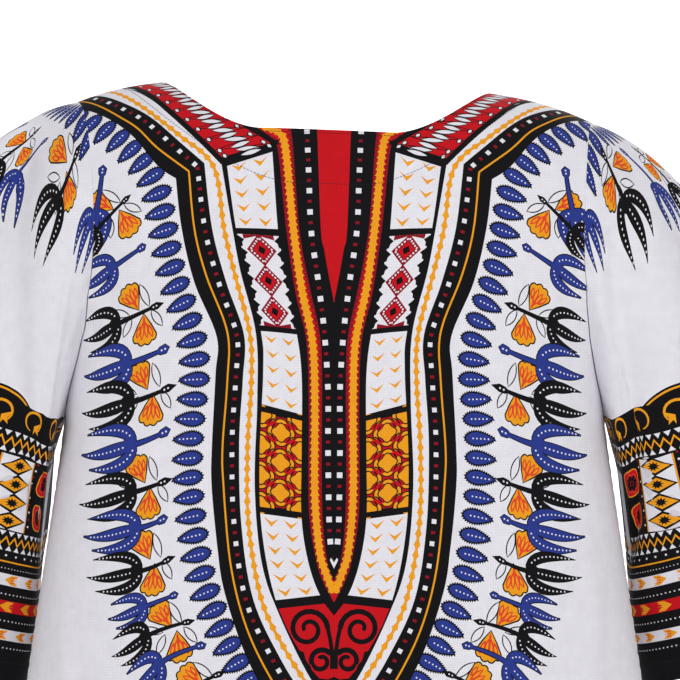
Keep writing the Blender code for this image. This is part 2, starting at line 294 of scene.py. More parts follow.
def shoulder_line(u):
    """The place v of the shoulder line on the flat cloth."""
    return -shoulder_height(u) - RIDGE_LOSS


def panel_half(v):
    """Half the width of the flat panel at a place down."""
    half = CHEST_HALF
    for place, slope in FLARES:
        below = v - place
        half = half + slope * (np.sqrt(below**2 + FLARE_SOFTNESS**2) + below) / 2
    return half


def body_folds(face, u, v):
    """How far the long soft folds push the cloth out; they open towards the hem."""
    out = np.zeros_like(u)
    for place, width, depth, start in BODY_FOLDS[face]:
        opening = np.clip((v - start) / (LENGTH - start), 0.0, 1.2) ** 1.5
        out += depth * opening * np.exp(-(((u - place) / width) ** 2))
    return out


def crease(u, v, table):
    """Heights of the short creases, each a soft ridge or trough that fades at both ends."""
    out = np.zeros_like(u)
    for u_a, v_a, u_b, v_b, width, height in table:
        along = np.array([u_b - u_a, v_b - v_a])
        length = np.hypot(*along)
        along = along / length
        way = (u - u_a) * along[0] + (v - v_a) * along[1]
        away = (v - v_a) * along[0] - (u - u_a) * along[1] - 0.10 * way * (1 - way / length)
        ends = smooth(way / (0.4 * length)) * smooth((length - way) / (0.4 * length))
        out += height * ends * np.exp(-((away / width) ** 2))
    return out


class Hang:
    """Where a piece of cloth hangs: a grid of points over the flat cloth, and the normals out of them."""

    def __init__(self, points, outward, lift=None, closed=False):
        self.closed = closed
        self.outward = outward
        if lift is not None:
            points = points + self.normals_of(points) * lift[..., None]
        self.points = points
        self.normals = self.normals_of(points)

    def normals_of(self, points):
        if self.closed:
            wrapped = np.concatenate([points[-2:-1], points, points[1:2]])
            across = (wrapped[2:] - wrapped[:-2]) / 2
        else:
            across = np.gradient(points, axis=0)
        normals = np.cross(np.gradient(points, axis=1), across) * self.outward
        return normals / np.maximum(np.linalg.norm(normals, axis=-1, keepdims=True), 1e-12)

    def at(self, i, j):
        """Points and normals at places i and j of the grid."""
        i = np.clip(i, 0, self.points.shape[0] - 1.001)
        j = np.clip(j, 0, self.points.shape[1] - 1.001)
        i0, j0 = i.astype(int), j.astype(int)
        fi, fj = (i - i0)[..., None], (j - j0)[..., None]
        found = []
        for grid in (self.points, self.normals):
            low = grid[i0, j0] * (1 - fi) + grid[i0 + 1, j0] * fi
            high = grid[i0, j0 + 1] * (1 - fi) + grid[i0 + 1, j0 + 1] * fi
            found.append(low * (1 - fj) + high * fj)
        points, normals = found
        return points, normals / np.linalg.norm(normals, axis=-1, keepdims=True)


def panel_hang(face):
    """The hang of a panel, which turns over the shoulders and round both sides."""
    across = np.arange(-TABLE_HALF, TABLE_HALF + 1e-6, TABLE_STEP)
    below = np.arange(0.0, LENGTH + TABLE_SPARE, TABLE_STEP)
    u, drop = np.meshgrid(across, below, indexing="ij")
    v = drop + shoulder_line(u)
    half = panel_half(v)
    over = 1 - turn(1 - drop / RIDGE_LENGTH, RIDGE_POWER)[0] / RIDGE_RISE
    side = smooth(drop / TURN_LENGTH) * turn(np.abs(u) / half, SIDE_POWER)[0] / SIDE_RISE
    y = half * SIDE_RISE * (over - side)
    run_u = np.sqrt(np.clip(1 - np.gradient(y, TABLE_STEP, axis=0) ** 2, 0.0, 1.0))
    run_v = np.sqrt(np.clip(1 - np.gradient(y, TABLE_STEP, axis=1) ** 2, 0.0, 1.0))
    x = np.zeros_like(y)
    x[1:] = np.cumsum((run_u[1:] + run_u[:-1]) / 2, axis=0) * TABLE_STEP
    x -= x[len(across) // 2]
    z = shoulder_height(u)
    z[:, 1:] -= np.cumsum((run_v[:, 1:] + run_v[:, :-1]) / 2, axis=1) * TABLE_STEP
    y += body_folds(face, u, v)
    points = np.stack([x, -y if face == "back" else y, z], axis=-1)
    return Hang(points, 1 if face == "back" else -1, crease(u, v, BODY_CREASES[face]))


PANELS = {face: panel_hang(face) for face in ("back", "front")}


def on_panel(face, u, v):
    """Points and normals of the panel's outside at flat places (u, v) in metres."""
    return PANELS[face].at((u + TABLE_HALF) / TABLE_STEP, (v - shoulder_line(u)) / TABLE_STEP)


def neckline(u, half, depth, flat=NECK_FLAT):
    """Depth of a neck edge: level in the middle, then curving up to the shoulder line."""
    share = np.abs(u - NECK_MIDDLE) / half
    share = np.clip((share - flat) / (1 - flat), 0.0, 1.0)
    return depth * (1 - share**NECK_BEND) ** NECK_STEEP


def top_edge(face, u):
    """The top edge of a panel: shoulders, neck and, in front, the slit."""
    depth = neckline(u, NECK, NECK_DEPTH[face])
    if face == "front":
        depth = depth + SLIT * np.clip(1 - np.abs(u) / SLIT_HALF, 0.0, 1.0)
    return shoulder_line(u) + depth


def facing_edge(face, u):
    """The lower edge of a neck facing, with a tongue round the slit."""
    depth = neckline(u, NECK + FACING_WIDTH, NECK_DEPTH[face] + FACING_DEPTH, FACING_FLAT)
    if face == "front":
        share = np.clip(np.abs(u) / TONGUE_HALF, 0.0, 1.0)
        depth = depth + TONGUE * (1 + np.cos(math.pi * share)) / 2
    return shoulder_line(u) + np.maximum(depth, FACING_END)


def armhole_half(v, side):
    """How far out the side edge of a panel is: the armhole, and the side seam under it."""
    top = float(shoulder_line(side * SHOULDER))
    share = np.clip((v - top) / (UNDERARM - top), 0.0, 1.0)
    hollow = ARMHOLE_HOLLOW[side] * np.sin(math.pi * share**0.8)
    armhole = SHOULDER - hollow + (panel_half(UNDERARM) - SHOULDER) * share**5
    return np.where(v < UNDERARM, armhole, panel_half(v))


def hem_edge(face, u):
    """The hem, cut so that it hangs level."""
    v = np.full_like(u, LENGTH)
    return v + on_panel(face, u, v)[0][..., 2] + LENGTH


def neck_marks(face):
    """Places across the neck that an edge keeps: both ends, close marks where it is steep, and the slit."""
    left, right = NECK_MIDDLE - NECK, NECK_MIDDLE + NECK
    steep = np.linspace(0, 1, 8)[1:] ** 2 * STEEP_REACH
    slit = [-SLIT_HALF, -SLIT_HALF / 2, 0.0, SLIT_HALF / 2, SLIT_HALF] if face == "front" else []
    return [left, right, *(left + steep), *(right - steep), *slit]


def panel_outline(face):
    """The flat edge of a panel in millimetres, round from the left shoulder, by its right side and hem."""
    step = EDGE_STEP * MM
    count = round(2 * SHOULDER / step)
    top_u = np.linspace(-SHOULDER, SHOULDER, count + 1)
    top_u = np.unique(np.round([*top_u, *neck_marks(face)], 5))
    top = top_u + 1j * top_edge(face, top_u)
    sides = {}
    for side in (-1, 1):
        start = float(shoulder_line(side * SHOULDER))
        end = float(hem_edge(face, np.array([side * panel_half(LENGTH)]))[0])
        v = np.linspace(start, end, round((end - start) / step) + 1)[1:]
        sides[side] = side * armhole_half(v, side) + 1j * v
    left, right = sides[-1], sides[1]
    hem_u = np.linspace(left[-1].real, right[-1].real, round(2 * panel_half(LENGTH) / step) + 1)[1:-1]
    hem = hem_u + 1j * hem_edge(face, hem_u)
    return np.concatenate([top, right, hem[::-1], left[::-1]]) / MM


def armhole_ring(side, around):
    """The armhole's seam line at places round it: shoulder 0, down the back, underarm 0.5, up the front."""
    rows = FACING_ROWS + ARMHOLE_ROWS
    row = np.where(around <= 0.5, around, 1 - around) * 2 * rows
    edges = []
    for face in ("back", "front"):
        u = np.array([side * SHOULDER])
        top, facing = float(top_edge(face, u)[0]), float(facing_edge(face, u)[0])
        above = top + (facing - top) * np.clip(row / FACING_ROWS, 0, 1) ** RIDGE_CLOSER
        below = facing + (UNDERARM - facing) * (row - FACING_ROWS) / ARMHOLE_ROWS
        v = np.where(row < FACING_ROWS, above, below)
        edges.append(on_panel(face, side * armhole_half(v, side), v)[0])
    middle = (edges[0] + edges[1]) / 2
    ends = (row < 1e-6) | (row > rows - 1e-6)
    ring = np.where((around <= 0.5)[:, None], edges[0], edges[1])
    return np.where(ends[:, None], middle, ring)


def between_quarters(values, angle):
    """A smooth value round a ring from its values at the top, back, under and front."""
    one, two = np.cos(angle), np.cos(2 * angle)
    weights = (
        (1 + 2 * one + two) / 4,
        (1 + 2 * np.sin(angle) - two) / 4,
        (1 - 2 * one + two) / 4,
        (1 - 2 * np.sin(angle) - two) / 4,
    )
    return sum(weight[:, None] * np.array(value) for weight, value in zip(weights, values))


def sleeve_lift(name, around, along):
    """How far a sleeve's folds push its cloth out."""
    out = np.zeros(np.broadcast(around, along).shape)
    for round_a, along_a, round_b, along_b, width, height in SLEEVE_FOLDS[name]:
        share = np.clip((along - along_a) / (along_b - along_a), 0.0, 1.0)
        middle = round_a + (round_b - round_a) * share
        away = (around - middle + 0.5) % 1.0 - 0.5
        ends = smooth((along - along_a) / 0.12 + 0.5) * smooth((along_b - along) / 0.12 + 1.0)
        out += height * ends * np.exp(-((away / width) ** 2))
    return out


class Sleeve:
    """A sleeve's hang, with its cloth opened flat along the underarm: across from the top line, and down."""

    def __init__(self, name):
        side = -1 if name == "left" else 1
        mirror = np.array([side, 1.0, 1.0])
        around = np.linspace(-0.5, 0.5, SLEEVE_AROUND + 1)
        angle = 2 * math.pi * around
        armhole = armhole_ring(side, around % 1.0)
        leave = between_quarters(LEAVE[name], angle) * mirror
        arrive = between_quarters(ARRIVE, angle) * mirror
        out = np.array([math.cos(CUFF_TILT), 0.0, math.sin(CUFF_TILT)]) * CUFF_HALF_WIDTH
        back = np.array([0.0, -CUFF_HALF_DEPTH, 0.0])
        cuff = np.cos(angle)[:, None] * out + np.sin(angle)[:, None] * back
        cuff = (np.array(CUFF_CENTRE) + cuff) * mirror
        t = np.linspace(0.0, 1.0, SLEEVE_ALONG + 1)[None, :, None]
        points = (
            (2 * t**3 - 3 * t**2 + 1) * armhole[:, None]
            + (t**3 - 2 * t**2 + t) * leave[:, None]
            + (3 * t**2 - 2 * t**3) * cuff[:, None]
            + (t**3 - t**2) * arrive[:, None]
        )
        along = t[..., 0]
        lift = sleeve_lift(name, around[:, None], along) * smooth(along / 0.15)
        hang = Hang(points, -side, lift, closed=True)
        # The grid is laid out again by length down each line of the cloth.
        steps = np.linalg.norm(np.diff(hang.points, axis=1), axis=-1)
        down = np.concatenate([np.zeros((len(around), 1)), np.cumsum(steps, axis=1)], axis=1)
        share = np.linspace(0.0, 1.0, SLEEVE_ALONG + 1)
        even = np.empty_like(hang.points)
        for line, length in enumerate(down[:, -1]):
            for axis in range(3):
                values = hang.points[line, :, axis]
                even[line, :, axis] = np.interp(share * length, down[line], values)
        self.hang = Hang(even, -side, closed=True)
        self.around = around
        self.lengths = down[:, -1] / MM
        rings = np.linalg.norm(np.diff(even, axis=0), axis=-1).sum(axis=0) / MM
        self.shares = share
        self.widths = rings

    def length(self, around):
        return np.interp(around, self.around, self.lengths)

    def flat(self, around, share):
        """Flat place in millimetres."""
        return around * np.interp(share, self.shares, self.widths) + 1j * share * self.length(around)

    def place(self, flat):
        """The around and share of flat places."""
        around = flat.real / self.widths[0]
        for _ in range(12):
            share = np.clip(flat.imag / self.length(around), 0.0, 1.0)
            around = flat.real / np.interp(share, self.shares, self.widths)
        return around, share

    def on(self, flat):
        around, share = self.place(flat)
        return self.hang.at((around + 0.5) * SLEEVE_AROUND, share * SLEEVE_ALONG)

    def up(self, across, height):
        """The flat place at a distance up from the cuff; across is measured at the cuff."""
        around = across / self.widths[-1]
        length = self.length(around)
        return self.flat(around, np.clip(1 - height / length, 0.0, 1.0))

    def outline(self):
        across = np.linspace(-0.5, 0.5, round(self.widths[0] / EDGE_STEP) + 1)
        down = np.linspace(0.0, 1.0, round(self.lengths[0] / EDGE_STEP) + 1)[1:-1]
        top = self.flat(across, np.zeros_like(across))
        right = self.flat(np.full_like(down, 0.4996), down)
        left = self.flat(np.full_like(down, -0.4996), down)
        cuff = self.flat(across, np.ones_like(across))
        return np.concatenate([top, right, cuff[::-1], left[::-1]])


# ======== Drawing on flat cloth, millimetres ========


def bezier(a, b, c, d, steps=9):
    """Places on a curve from a to d, drawn towards b and c."""
    t = np.linspace(0.0, 1.0, steps)
    return (1 - t) ** 3 * a + 3 * (1 - t) ** 2 * t * b + 3 * (1 - t) * t**2 * c + t**3 * d


def disc(centre, radius, sides=8):
    """A round shape of a few sides."""
    return centre + radius * np.exp(2j * math.pi * np.arange(sides) / sides)


def stroke(path, widths):
    """A band along a path, as wide as widths says at each of its points."""
    way = np.gradient(path)
    half = 1j * way / np.maximum(np.abs(way), 1e-9) * np.asarray(widths) / 2
    return np.concatenate([path + half, (path - half)[::-1]])


def lens(start, end, width, steps=7):
    """A leaf shape with two pointed ends."""
    t = np.linspace(0.0, 1.0, steps)
    bow = width / 2 * np.sin(math.pi * t) ** 0.8
    side = 1j * (end - start) / abs(end - start)
    along = start + (end - start) * t
    return np.concatenate([along + side * bow, (along - side * bow)[-2:0:-1]])


def grown(shape, by):
    """The shape, larger all round by about this much."""
    before, after = np.roll(shape, 1), np.roll(shape, -1)
    way = after - before
    area = (shape.real * after.imag - shape.imag * after.real).sum()
    return shape - 1j * way / np.maximum(np.abs(way), 1e-9) * by * (1 if area > 0 else -1)


class Line:
    """A smooth line through a few places, with places along it by length. A place given twice is a corner."""

    def __init__(self, places):
        p = np.array([complex(*place) for place in places])
        p = np.concatenate([[2 * p[0] - p[1]], p, [2 * p[-1] - p[-2]]])
        t = np.linspace(0.0, 1.0, 9)[:-1]
        parts = []
        for a, b, c, d in zip(p, p[1:], p[2:], p[3:]):
            if b == c:
                continue
            bend = (2 * a - 5 * b + 4 * c - d) * t**2 + (3 * b - a - 3 * c + d) * t**3
            parts.append((2 * b + (c - a) * t + bend) / 2)
        self.points = np.concatenate([*parts, [p[-2]]])
        self.along = np.concatenate([[0.0], np.cumsum(np.abs(np.diff(self.points)))])
        self.length = float(self.along[-1])

    def at(self, s):
        real = np.interp(s, self.along, self.points.real)
        return real + 1j * np.interp(s, self.along, self.points.imag)

    def way(self, s, reach=1.5):
        ahead = self.at(np.minimum(s + reach, self.length)) - self.at(np.maximum(s - reach, 0.0))
        return ahead / np.abs(ahead)

    def across(self, v):
        """How far out the line is at this way down; it runs downwards."""
        return np.interp(v, self.points.imag, self.points.real)

    def every(self, pitch, start=0.0):
        return np.arange(start, self.length, pitch)


class Print:
    """Shapes of ink on flat cloth. A later shape lies over an earlier one."""

    def __init__(self):
        self.shapes = []
        self.mirrored = False

    def ink(self, ink, shape):
        for part in parts_of(np.asarray(shape, complex)):
            self.shapes.append((ink, part))
            if self.mirrored:
                self.shapes.append((ink, -part.conjugate()))

    def between(self, ink, one, other):
        whole = np.concatenate([one.points, other.points[::-1]])
        if not simple(whole):
            count = round(one.length / 5)
            ends = (line.at(np.linspace(0.0, line.length, count)) for line in (one, other))
            whole = np.concatenate([next(ends), next(ends)[::-1]])
        self.ink(ink, whole)

    def to_middle(self, ink, line, top=-1000.0):
        """Fills from a line to the middle of the cloth, below a place down."""
        points = line.points[line.points.imag > top]
        self.ink(ink, np.concatenate([points, (-0.5 + 1j * points.imag)[::-1]]))

    def outlined(self, ink, shape, edge="black", width=1.0):
        self.ink(edge, grown(shape, width / 2))
        self.ink(ink, grown(shape, -width / 2))


def simple(shape):
    """True if no two edges of the shape cross."""
    after = np.roll(shape, -1)
    a, b, c, d = shape[:, None], after[:, None], shape[None], after[None]

    def side(p, q, r):
        return ((q - p).conjugate() * (r - p)).imag

    crossed = (side(a, b, c) * side(a, b, d) < 0) & (side(c, d, a) * side(c, d, b) < 0)
    return not crossed.any()


def parts_of(shape):
    """The shape, or where its edges cross, the short stretches that a band is made of."""
    shape = shape[np.abs(shape - np.roll(shape, 1)) > SHORTEST_EDGE]
    if len(shape) < 3 or simple(shape):
        return [shape]
    half = len(shape) // 2
    parts = []
    for k in range(half - 1):
        part = shape[[k, k + 1, len(shape) - 2 - k, len(shape) - 1 - k]]
        parts.append(part[np.argsort(np.angle(part - part.mean()))])
    return parts


# ---- The motifs ----


def comb_leaf(sheet, centre, way, length=25.0, width=11.0):
    """A blue leaf with its point along way, a comb of short hairs all round it and a row of white dots."""
    t = np.linspace(0.0, 1.0, 16)
    half = width / 2 * np.sin(math.pi * t**0.72) ** 0.85
    body = np.concatenate([t + 1j * half / length, (t - 1j * half / length)[-2:0:-1]]) * length
    body = body - length / 2
    body = -body[::-1]
    around = Line([(place.real, place.imag) for place in [*body, body[0]]])
    spots = np.linspace(0.0, around.length, 61)[:-1]
    edge = around.at(spots)
    outward = around.way(spots) * -1j
    if ((edge - edge.mean()) * outward.conjugate()).real.sum() < 0:
        outward = -outward
    teeth = np.where(np.arange(60) % 2 == 0, 0.8, 2.3)
    comb = edge + outward * teeth + around.way(spots) * np.where(np.arange(60) % 2 == 0, 0.0, 0.35)
    sheet.ink("black", centre + comb * way)
    sheet.ink("blue", centre + grown(body, -0.25) * way)
    for step in range(5):
        sheet.ink("cloth", centre + disc((step - 2.2) * 3.3, 0.75, 6) * way)


PRONGS = (
    (0.44, 0.50 + 0.20j, 0.68 + 0.19j, 0.91 + 0.14j),
    (0.46, 0.58 + 0.01j, 0.80 + 0.05j, 1.00 - 0.02j),
    (0.44, 0.48 - 0.20j, 0.66 - 0.19j, 0.92 - 0.19j),
)


def bird(sheet, ink, head, tip, join=None, spread=1.0):
    """A long-necked bird: a head with two dots, a neck, and three curved feathers set with white dots."""
    axis = tip - head
    size = abs(axis)
    shift = 0.0 if join is None else ((join - head) / axis).imag
    start = 0.42 if join is None else ((join - head) / axis).real

    def placed(local):
        bend = shift * np.sin(np.clip(local.real / (2 * start), 0, 1) * math.pi)
        bend = np.where(local.real < start, bend, shift * (1 - (local.real - start) / (1 - start)))
        return head + (local + 1j * bend) * axis

    parts = []
    t = np.linspace(0.10, start + 0.06, 6)
    parts.append(stroke(t + 0j, np.linspace(0.028, 0.05, 6)))
    square = 0.040 if ink == "blue" else 0.034
    point = 0.02 if ink == "blue" else -0.02
    parts.append(np.array([point, 0.055 + 1j * square, 0.11 + 0.8j * square, 0.155, 0.11 - 0.8j * square,
                           0.055 - 1j * square]))
    dots = [0.06 + 0j, 0.095 + 0j]
    for a, b, c, d in PRONGS:
        share = (np.array([a, b, c, d]).real - 0.44) / 0.56
        moved = start + 0.02 + share * (0.98 - start) + 1j * np.array([a, b, c, d]).imag * spread
        path = bezier(*moved, steps=13)
        s = np.linspace(0.0, 1.0, 13)
        parts.append(stroke(path, (0.034 + 0.084 * np.sin(math.pi * s**0.72)) * (1 - s**6)))
        lengths = np.concatenate([[0], np.cumsum(np.abs(np.diff(path)))])
        for place in np.arange(0.10 if len(dots) > 2 else 0.06, lengths[-1] * 0.90, 0.045):
            dots.append(complex(np.interp(place, lengths, path.real), np.interp(place, lengths, path.imag)))
    parts.append(disc(start + 0.085, 0.066, 10))
    edge = 0.9
    if ink != "black":
        for part in parts:
            sheet.ink("black", grown(placed(part), edge))
    for part in parts:
        sheet.ink(ink, grown(placed(part), 0.35 if ink == "black" else 0.0))
    for dot in dots:
        sheet.ink("cloth", disc(placed(np.array([dot]))[0], 0.0098 * size, 6))


# Loops of a flower: turn from its axis as a share of the spread, start and end as shares of its size
FLOWER_LOOPS = ((-0.66, 0.40, 0.84), (-0.24, 0.28, 0.90), (0.22, 0.28, 0.86), (0.64, 0.40, 0.90))


def flower(sheet, base, angle, size, spread=30.0):
    """A flower opening from its base: a scalloped fan with long loops in it."""
    way = np.exp(1j * angle)
    fan = np.radians(np.linspace(-spread, spread, 21))
    scallops = 0.07 * np.abs(np.sin(np.linspace(0, 4 * math.pi, 21)))
    rim = size * (1 + scallops - 0.16 * np.linspace(-1, 1, 21) ** 2) * np.exp(1j * fan)
    side = size * 0.45 * np.exp(1.05j * math.radians(spread))
    shape = np.concatenate([[0.02 * size], [side.conjugate()], rim, [side]])
    sheet.outlined("orange", base + shape * way, width=1.2)
    for turned, start, end in FLOWER_LOOPS:
        ray = np.exp(1j * turned * math.radians(spread)) * way * size
        sheet.ink("flame", lens(base + start * ray, base + end * ray, 0.17 * size))
        sheet.ink("orange", lens(base + (start + 0.12) * ray, base + (end - 0.08) * ray, 0.07 * size))
    sheet.ink("flame", lens(base + 0.08 * size * way, base + 0.42 * size * way, 0.08 * size))


def white_leaf(sheet, start, end, width=6.5):
    """A small white leaf with a thin black edge."""
    sheet.outlined("cloth", lens(start, end, width), width=1.0)


# What stands beside a black bird: kind, place along the bird, angle from its axis in degrees, size
BESIDE_BIRD = (
    ("flower", 0.20, 80, 26),
    ("flower", 0.24, -70, 25),
    ("leaf", 0.13, 112, 18),
    ("leaf", 0.13, -78, 22),
    ("leaf", 0.33, 50, 17),
    ("leaf", 0.34, -32, 21),
)


def beside_bird(sheet, head, tip, turned=1):
    axis = tip - head
    for kind, along, angle, size in BESIDE_BIRD:
        way = axis / abs(axis) * np.exp(1j * math.radians(angle * turned))
        base = head + axis * along + way * 1.8
        if kind == "flower":
            flower(sheet, base, float(np.angle(way)), size)
        else:
            white_leaf(sheet, base, base + way * size)


def chevron(sheet, place, size=1.0):
    """An orange tick."""
    tick = np.array([-5.8 - 3.2j, -0.3 + 0.1j, 5.8 - 3.4j, 0.5 + 3.6j]) * size
    sheet.ink("orange", place(tick))


# ---- The body's print: lines of one half, out from the middle and down ----

OUTER_LINE = Line([(262, -66), (230, -32), (197, -4), (172, 22), (149, 55), (133, 69), (133, 69),
                   (128, 112), (117, 159), (98, 206), (99, 238), (102, 299), (102, 330), (97, 382),
                   (91, 419), (74, 470), (52, 512), (28, 545), (0, 572)])
ORANGE_LINE = Line([(248, -70), (215, -34), (186, -3), (167, 16), (149, 39), (122, 64), (122, 64),
                    (117, 114), (107, 154), (89, 203), (89, 243), (93, 299), (92, 331), (86, 396),
                    (73, 448), (52, 492), (28, 526), (0, 553)])
SQUARES_LINE = Line([(230, -70), (187, -24), (158, 4), (130, 36), (109, 58), (109, 58), (102, 115),
                     (90, 161), (75, 206), (76, 243), (79, 296), (77, 364), (67, 426), (44, 476),
                     (22, 510), (0, 537)])
RICKRACK_LINE = Line([(212, -70), (176, -23), (150, 8), (130, 30), (101, 62), (92, 116), (83, 154),
                      (70, 206), (69, 248), (72, 300), (71, 364), (60, 427), (41, 467), (20, 500),
                      (0, 528)])
INNER_LINE = Line([(200, -72), (156, -16), (135, 12), (95, 57), (95, 57), (85, 116), (78, 153), (65, 206),
                   (64, 262), (66, 332), (60, 396), (45, 440), (20, 491), (0, 516)])
BOX_OUTER = Line([(91, 50), (90, 60), (82, 116), (76, 137), (61, 203), (59, 237), (62, 308), (60, 369),
                  (48, 428), (26, 474), (0, 505)])
BOX_INNER = Line([(53, 40), (52, 48), (47, 117), (44, 136), (32, 200), (27, 240), (27, 308), (27, 359),
                  (21, 397), (11, 424), (0, 434)])
STRIP_OUTER = Line([(100, 0), (78, 20), (62, 32), (52, 38), (47, 50), (40, 117), (32, 172), (23, 212),
                    (21, 267), (21, 350), (15, 393), (9, 412), (0, 429)])
STRIP_MIDDLE = Line([(96, -12), (73, 13), (59, 25), (47, 31), (41, 46), (34, 117), (27, 168), (18, 212),
                     (16, 262), (16, 340), (12, 386), (7, 404), (0, 422)])
STRIP_INNER = Line([(90, -18), (66, 4), (50, 14), (39, 20), (35, 40), (29, 118), (20, 168), (12, 205),
                    (10, 240), (10, 344), (6, 393), (0, 411)])
V_LINE = Line([(15, 10), (14, 36), (11, 118), (8, 136), (4, 159), (0, 179)])
BEADS_LINE = Line([(23, 26), (21, 75), (19, 120), (13, 163), (8, 205), (5, 253), (5, 301), (4, 362),
                   (2.5, 386)])
LEAF_LINE = Line([(262, -44), (240, -24), (212, 0), (187, 22), (165, 48), (152, 72), (145, 107),
                  (137, 150), (121, 200), (117, 235), (122, 285), (122, 332), (114, 394), (100, 439),
                  (75, 491), (50, 532), (24, 566), (0, 590)])

# Birds of one half, from the shoulder down: ink, head, where the neck joins the feathers, tip
BIRDS = (
    ("blue", 196 + 44j, 203 + 82j, 219 + 123j),
    ("black", 173 + 77j, 203 + 99j, 226 + 118j),
    ("blue", 158 + 121j, 187 + 133j, 226 + 147j),
    ("black", 145 + 173j, 184 + 182j, 228 + 190j),
    ("blue", 137 + 210j, 173 + 218j, 227 + 221j),
    ("black", 134 + 243j, 170 + 251j, 230 + 252j),
    ("blue", 136 + 279j, 168 + 287j, 227 + 288j),
    ("black", 137 + 321j, 167 + 327j, 227 + 330j),
    ("blue", 138 + 352j, 163 + 358j, 220 + 358j),
    ("black", 134 + 386j, 161 + 394j, 215 + 393j),
    ("blue", 129 + 417j, 157 + 424j, 192 + 431j),
    ("black", 117 + 441j, 154 + 448j, 188 + 463j),
    ("blue", 105 + 461j, 143 + 472j, 172 + 494j),
    ("black", 91 + 485j, 126 + 502j, 152 + 531j),
    ("blue", 75 + 512j, 103 + 534j, 124 + 566j),
    ("black", 56 + 540j, 80 + 564j, 94 + 601j),
    ("blue", 38 + 566j, 54 + 592j, 62 + 632j),
    ("black", 16 + 588j, 22 + 616j, 22 + 658j),
)

# Boxes of the column, each with its outer and inner end above and below
BOXES = (
    ("lobes", 272, 279, 348, 353, 3),
    ("chevrons", 60, 48, 116, 118, 5),
    ("diamonds", 121, 124, 198, 202, 3),
    ("chevrons", 203, 206, 264, 273, 5),
    ("chevrons", 355, 360, 427, 423, 6),
)
# Black bars between the boxes: outer and inner end
BOX_BARS = ((118.5, 121), (200.5, 204), (268, 276), (351.5, 356.5), (431, 428.5))
STRIP_TOP = 38  # the collar band covers the strip's black edge above this place down


def box_patch(outer_top, inner_top, outer_end, inner_end):
    """Lays drawings on a box of the column: across from its inner edge, and down from its top."""
    width = float(BOX_OUTER.across(outer_top) - BOX_INNER.across(inner_top))
    height = (outer_end + inner_end - outer_top - inner_top) / 2

    def place(local):
        local = np.asarray(local)
        w, t = local.real / width, local.imag / height
        outer_v = outer_top + (outer_end - outer_top) * t
        inner_v = inner_top + (inner_end - inner_top) * t
        v = inner_v + (outer_v - inner_v) * w
        inner, outer = BOX_INNER.across(v), BOX_OUTER.across(v)
        return inner + (outer - inner) * w + 1j * v

    return place, width, height


def box_edge(width, height):
    """The edge of a box, close enough in its steps to follow the curved column."""
    side = np.linspace(0.0, 1.0, 9)
    return np.concatenate([side * width, width + 1j * side * height, (1 - side) * width + 1j * height,
                           1j * (1 - side) * height])


def chevron_box(sheet, place, width, height, rows):
    """White ground with two columns of orange ticks."""
    sheet.ink("cloth", place(box_edge(width, height)))
    for row in range(rows):
        for column, inset in ((0, 0.27), (1, 0.74)):
            centre = width * inset + 1j * height * (row + 0.56 - 0.05 * column) / rows
            chevron(sheet, lambda tick, centre=centre: place(centre + tick * min(1.0, width / 36)), 1.12)


# Corners of a black tooth at a box's side: out from the side, and down from the tooth's middle
TOOTH = ((-1, -5.5), (4.6, -1), (2.2, 1.2), (1.6, 4.6), (-1, 5.5))


def diamond_box(sheet, place, width, height, rows):
    """White ground with a column of dotted diamonds between two rows of black teeth."""
    sheet.ink("cloth", place(box_edge(width, height)))
    pitch = height / rows
    for step in range(7):
        y = height * (step + 0.5) / 7
        for x, way in ((0.0, 1), (width, -1)):
            sheet.ink("black", place([x + way * out + 1j * (y + down) for out, down in TOOTH]))
    for row in range(-1, rows + 1):
        centre = width / 2 + 1j * pitch * (row + 0.5)
        top, end = max(centre.imag - pitch / 2, 0.0), min(centre.imag + pitch / 2, height)
        if end - top < pitch / 4:
            continue
        rim = np.array([centre - 13.0, centre - 0.53j * pitch, centre + 13.0, centre + 0.53j * pitch])
        sheet.ink("dark_red", place(rim))
        for corner, after in zip(rim, np.roll(rim, -1)):
            for share in (0.10, 0.30, 0.50, 0.70, 0.90):
                spot = centre + (corner + (after - corner) * share - centre) * 0.76
                sheet.ink("cloth", place(disc(spot, 0.95, 6)))
        sheet.ink("red", place(centre + (rim - centre) * 0.56))
        sheet.ink("black", place(centre + np.array([-3.4, -3.6j, 3.4, 3.6j]) * np.exp(0.35j) * 1.1))
    for row, way in ((0, 1), (rows, -1)):
        apex = width / 2 + 1j * pitch * row
        for side in (-1, 1):
            band = np.array([apex, apex + side * 13, apex + side * 13 + 4.0j * way, apex + 0.8j * way])
            sheet.ink("dark_red", place(band))


def lobed(centre, radius, lobes=4, depth=0.26, steps=28, turned=0.0):
    """A round with lobes."""
    angle = np.linspace(0, 2 * math.pi, steps, endpoint=False)
    return centre + radius * (1 - depth + depth * np.cos(lobes * (angle - turned))) * np.exp(1j * angle)


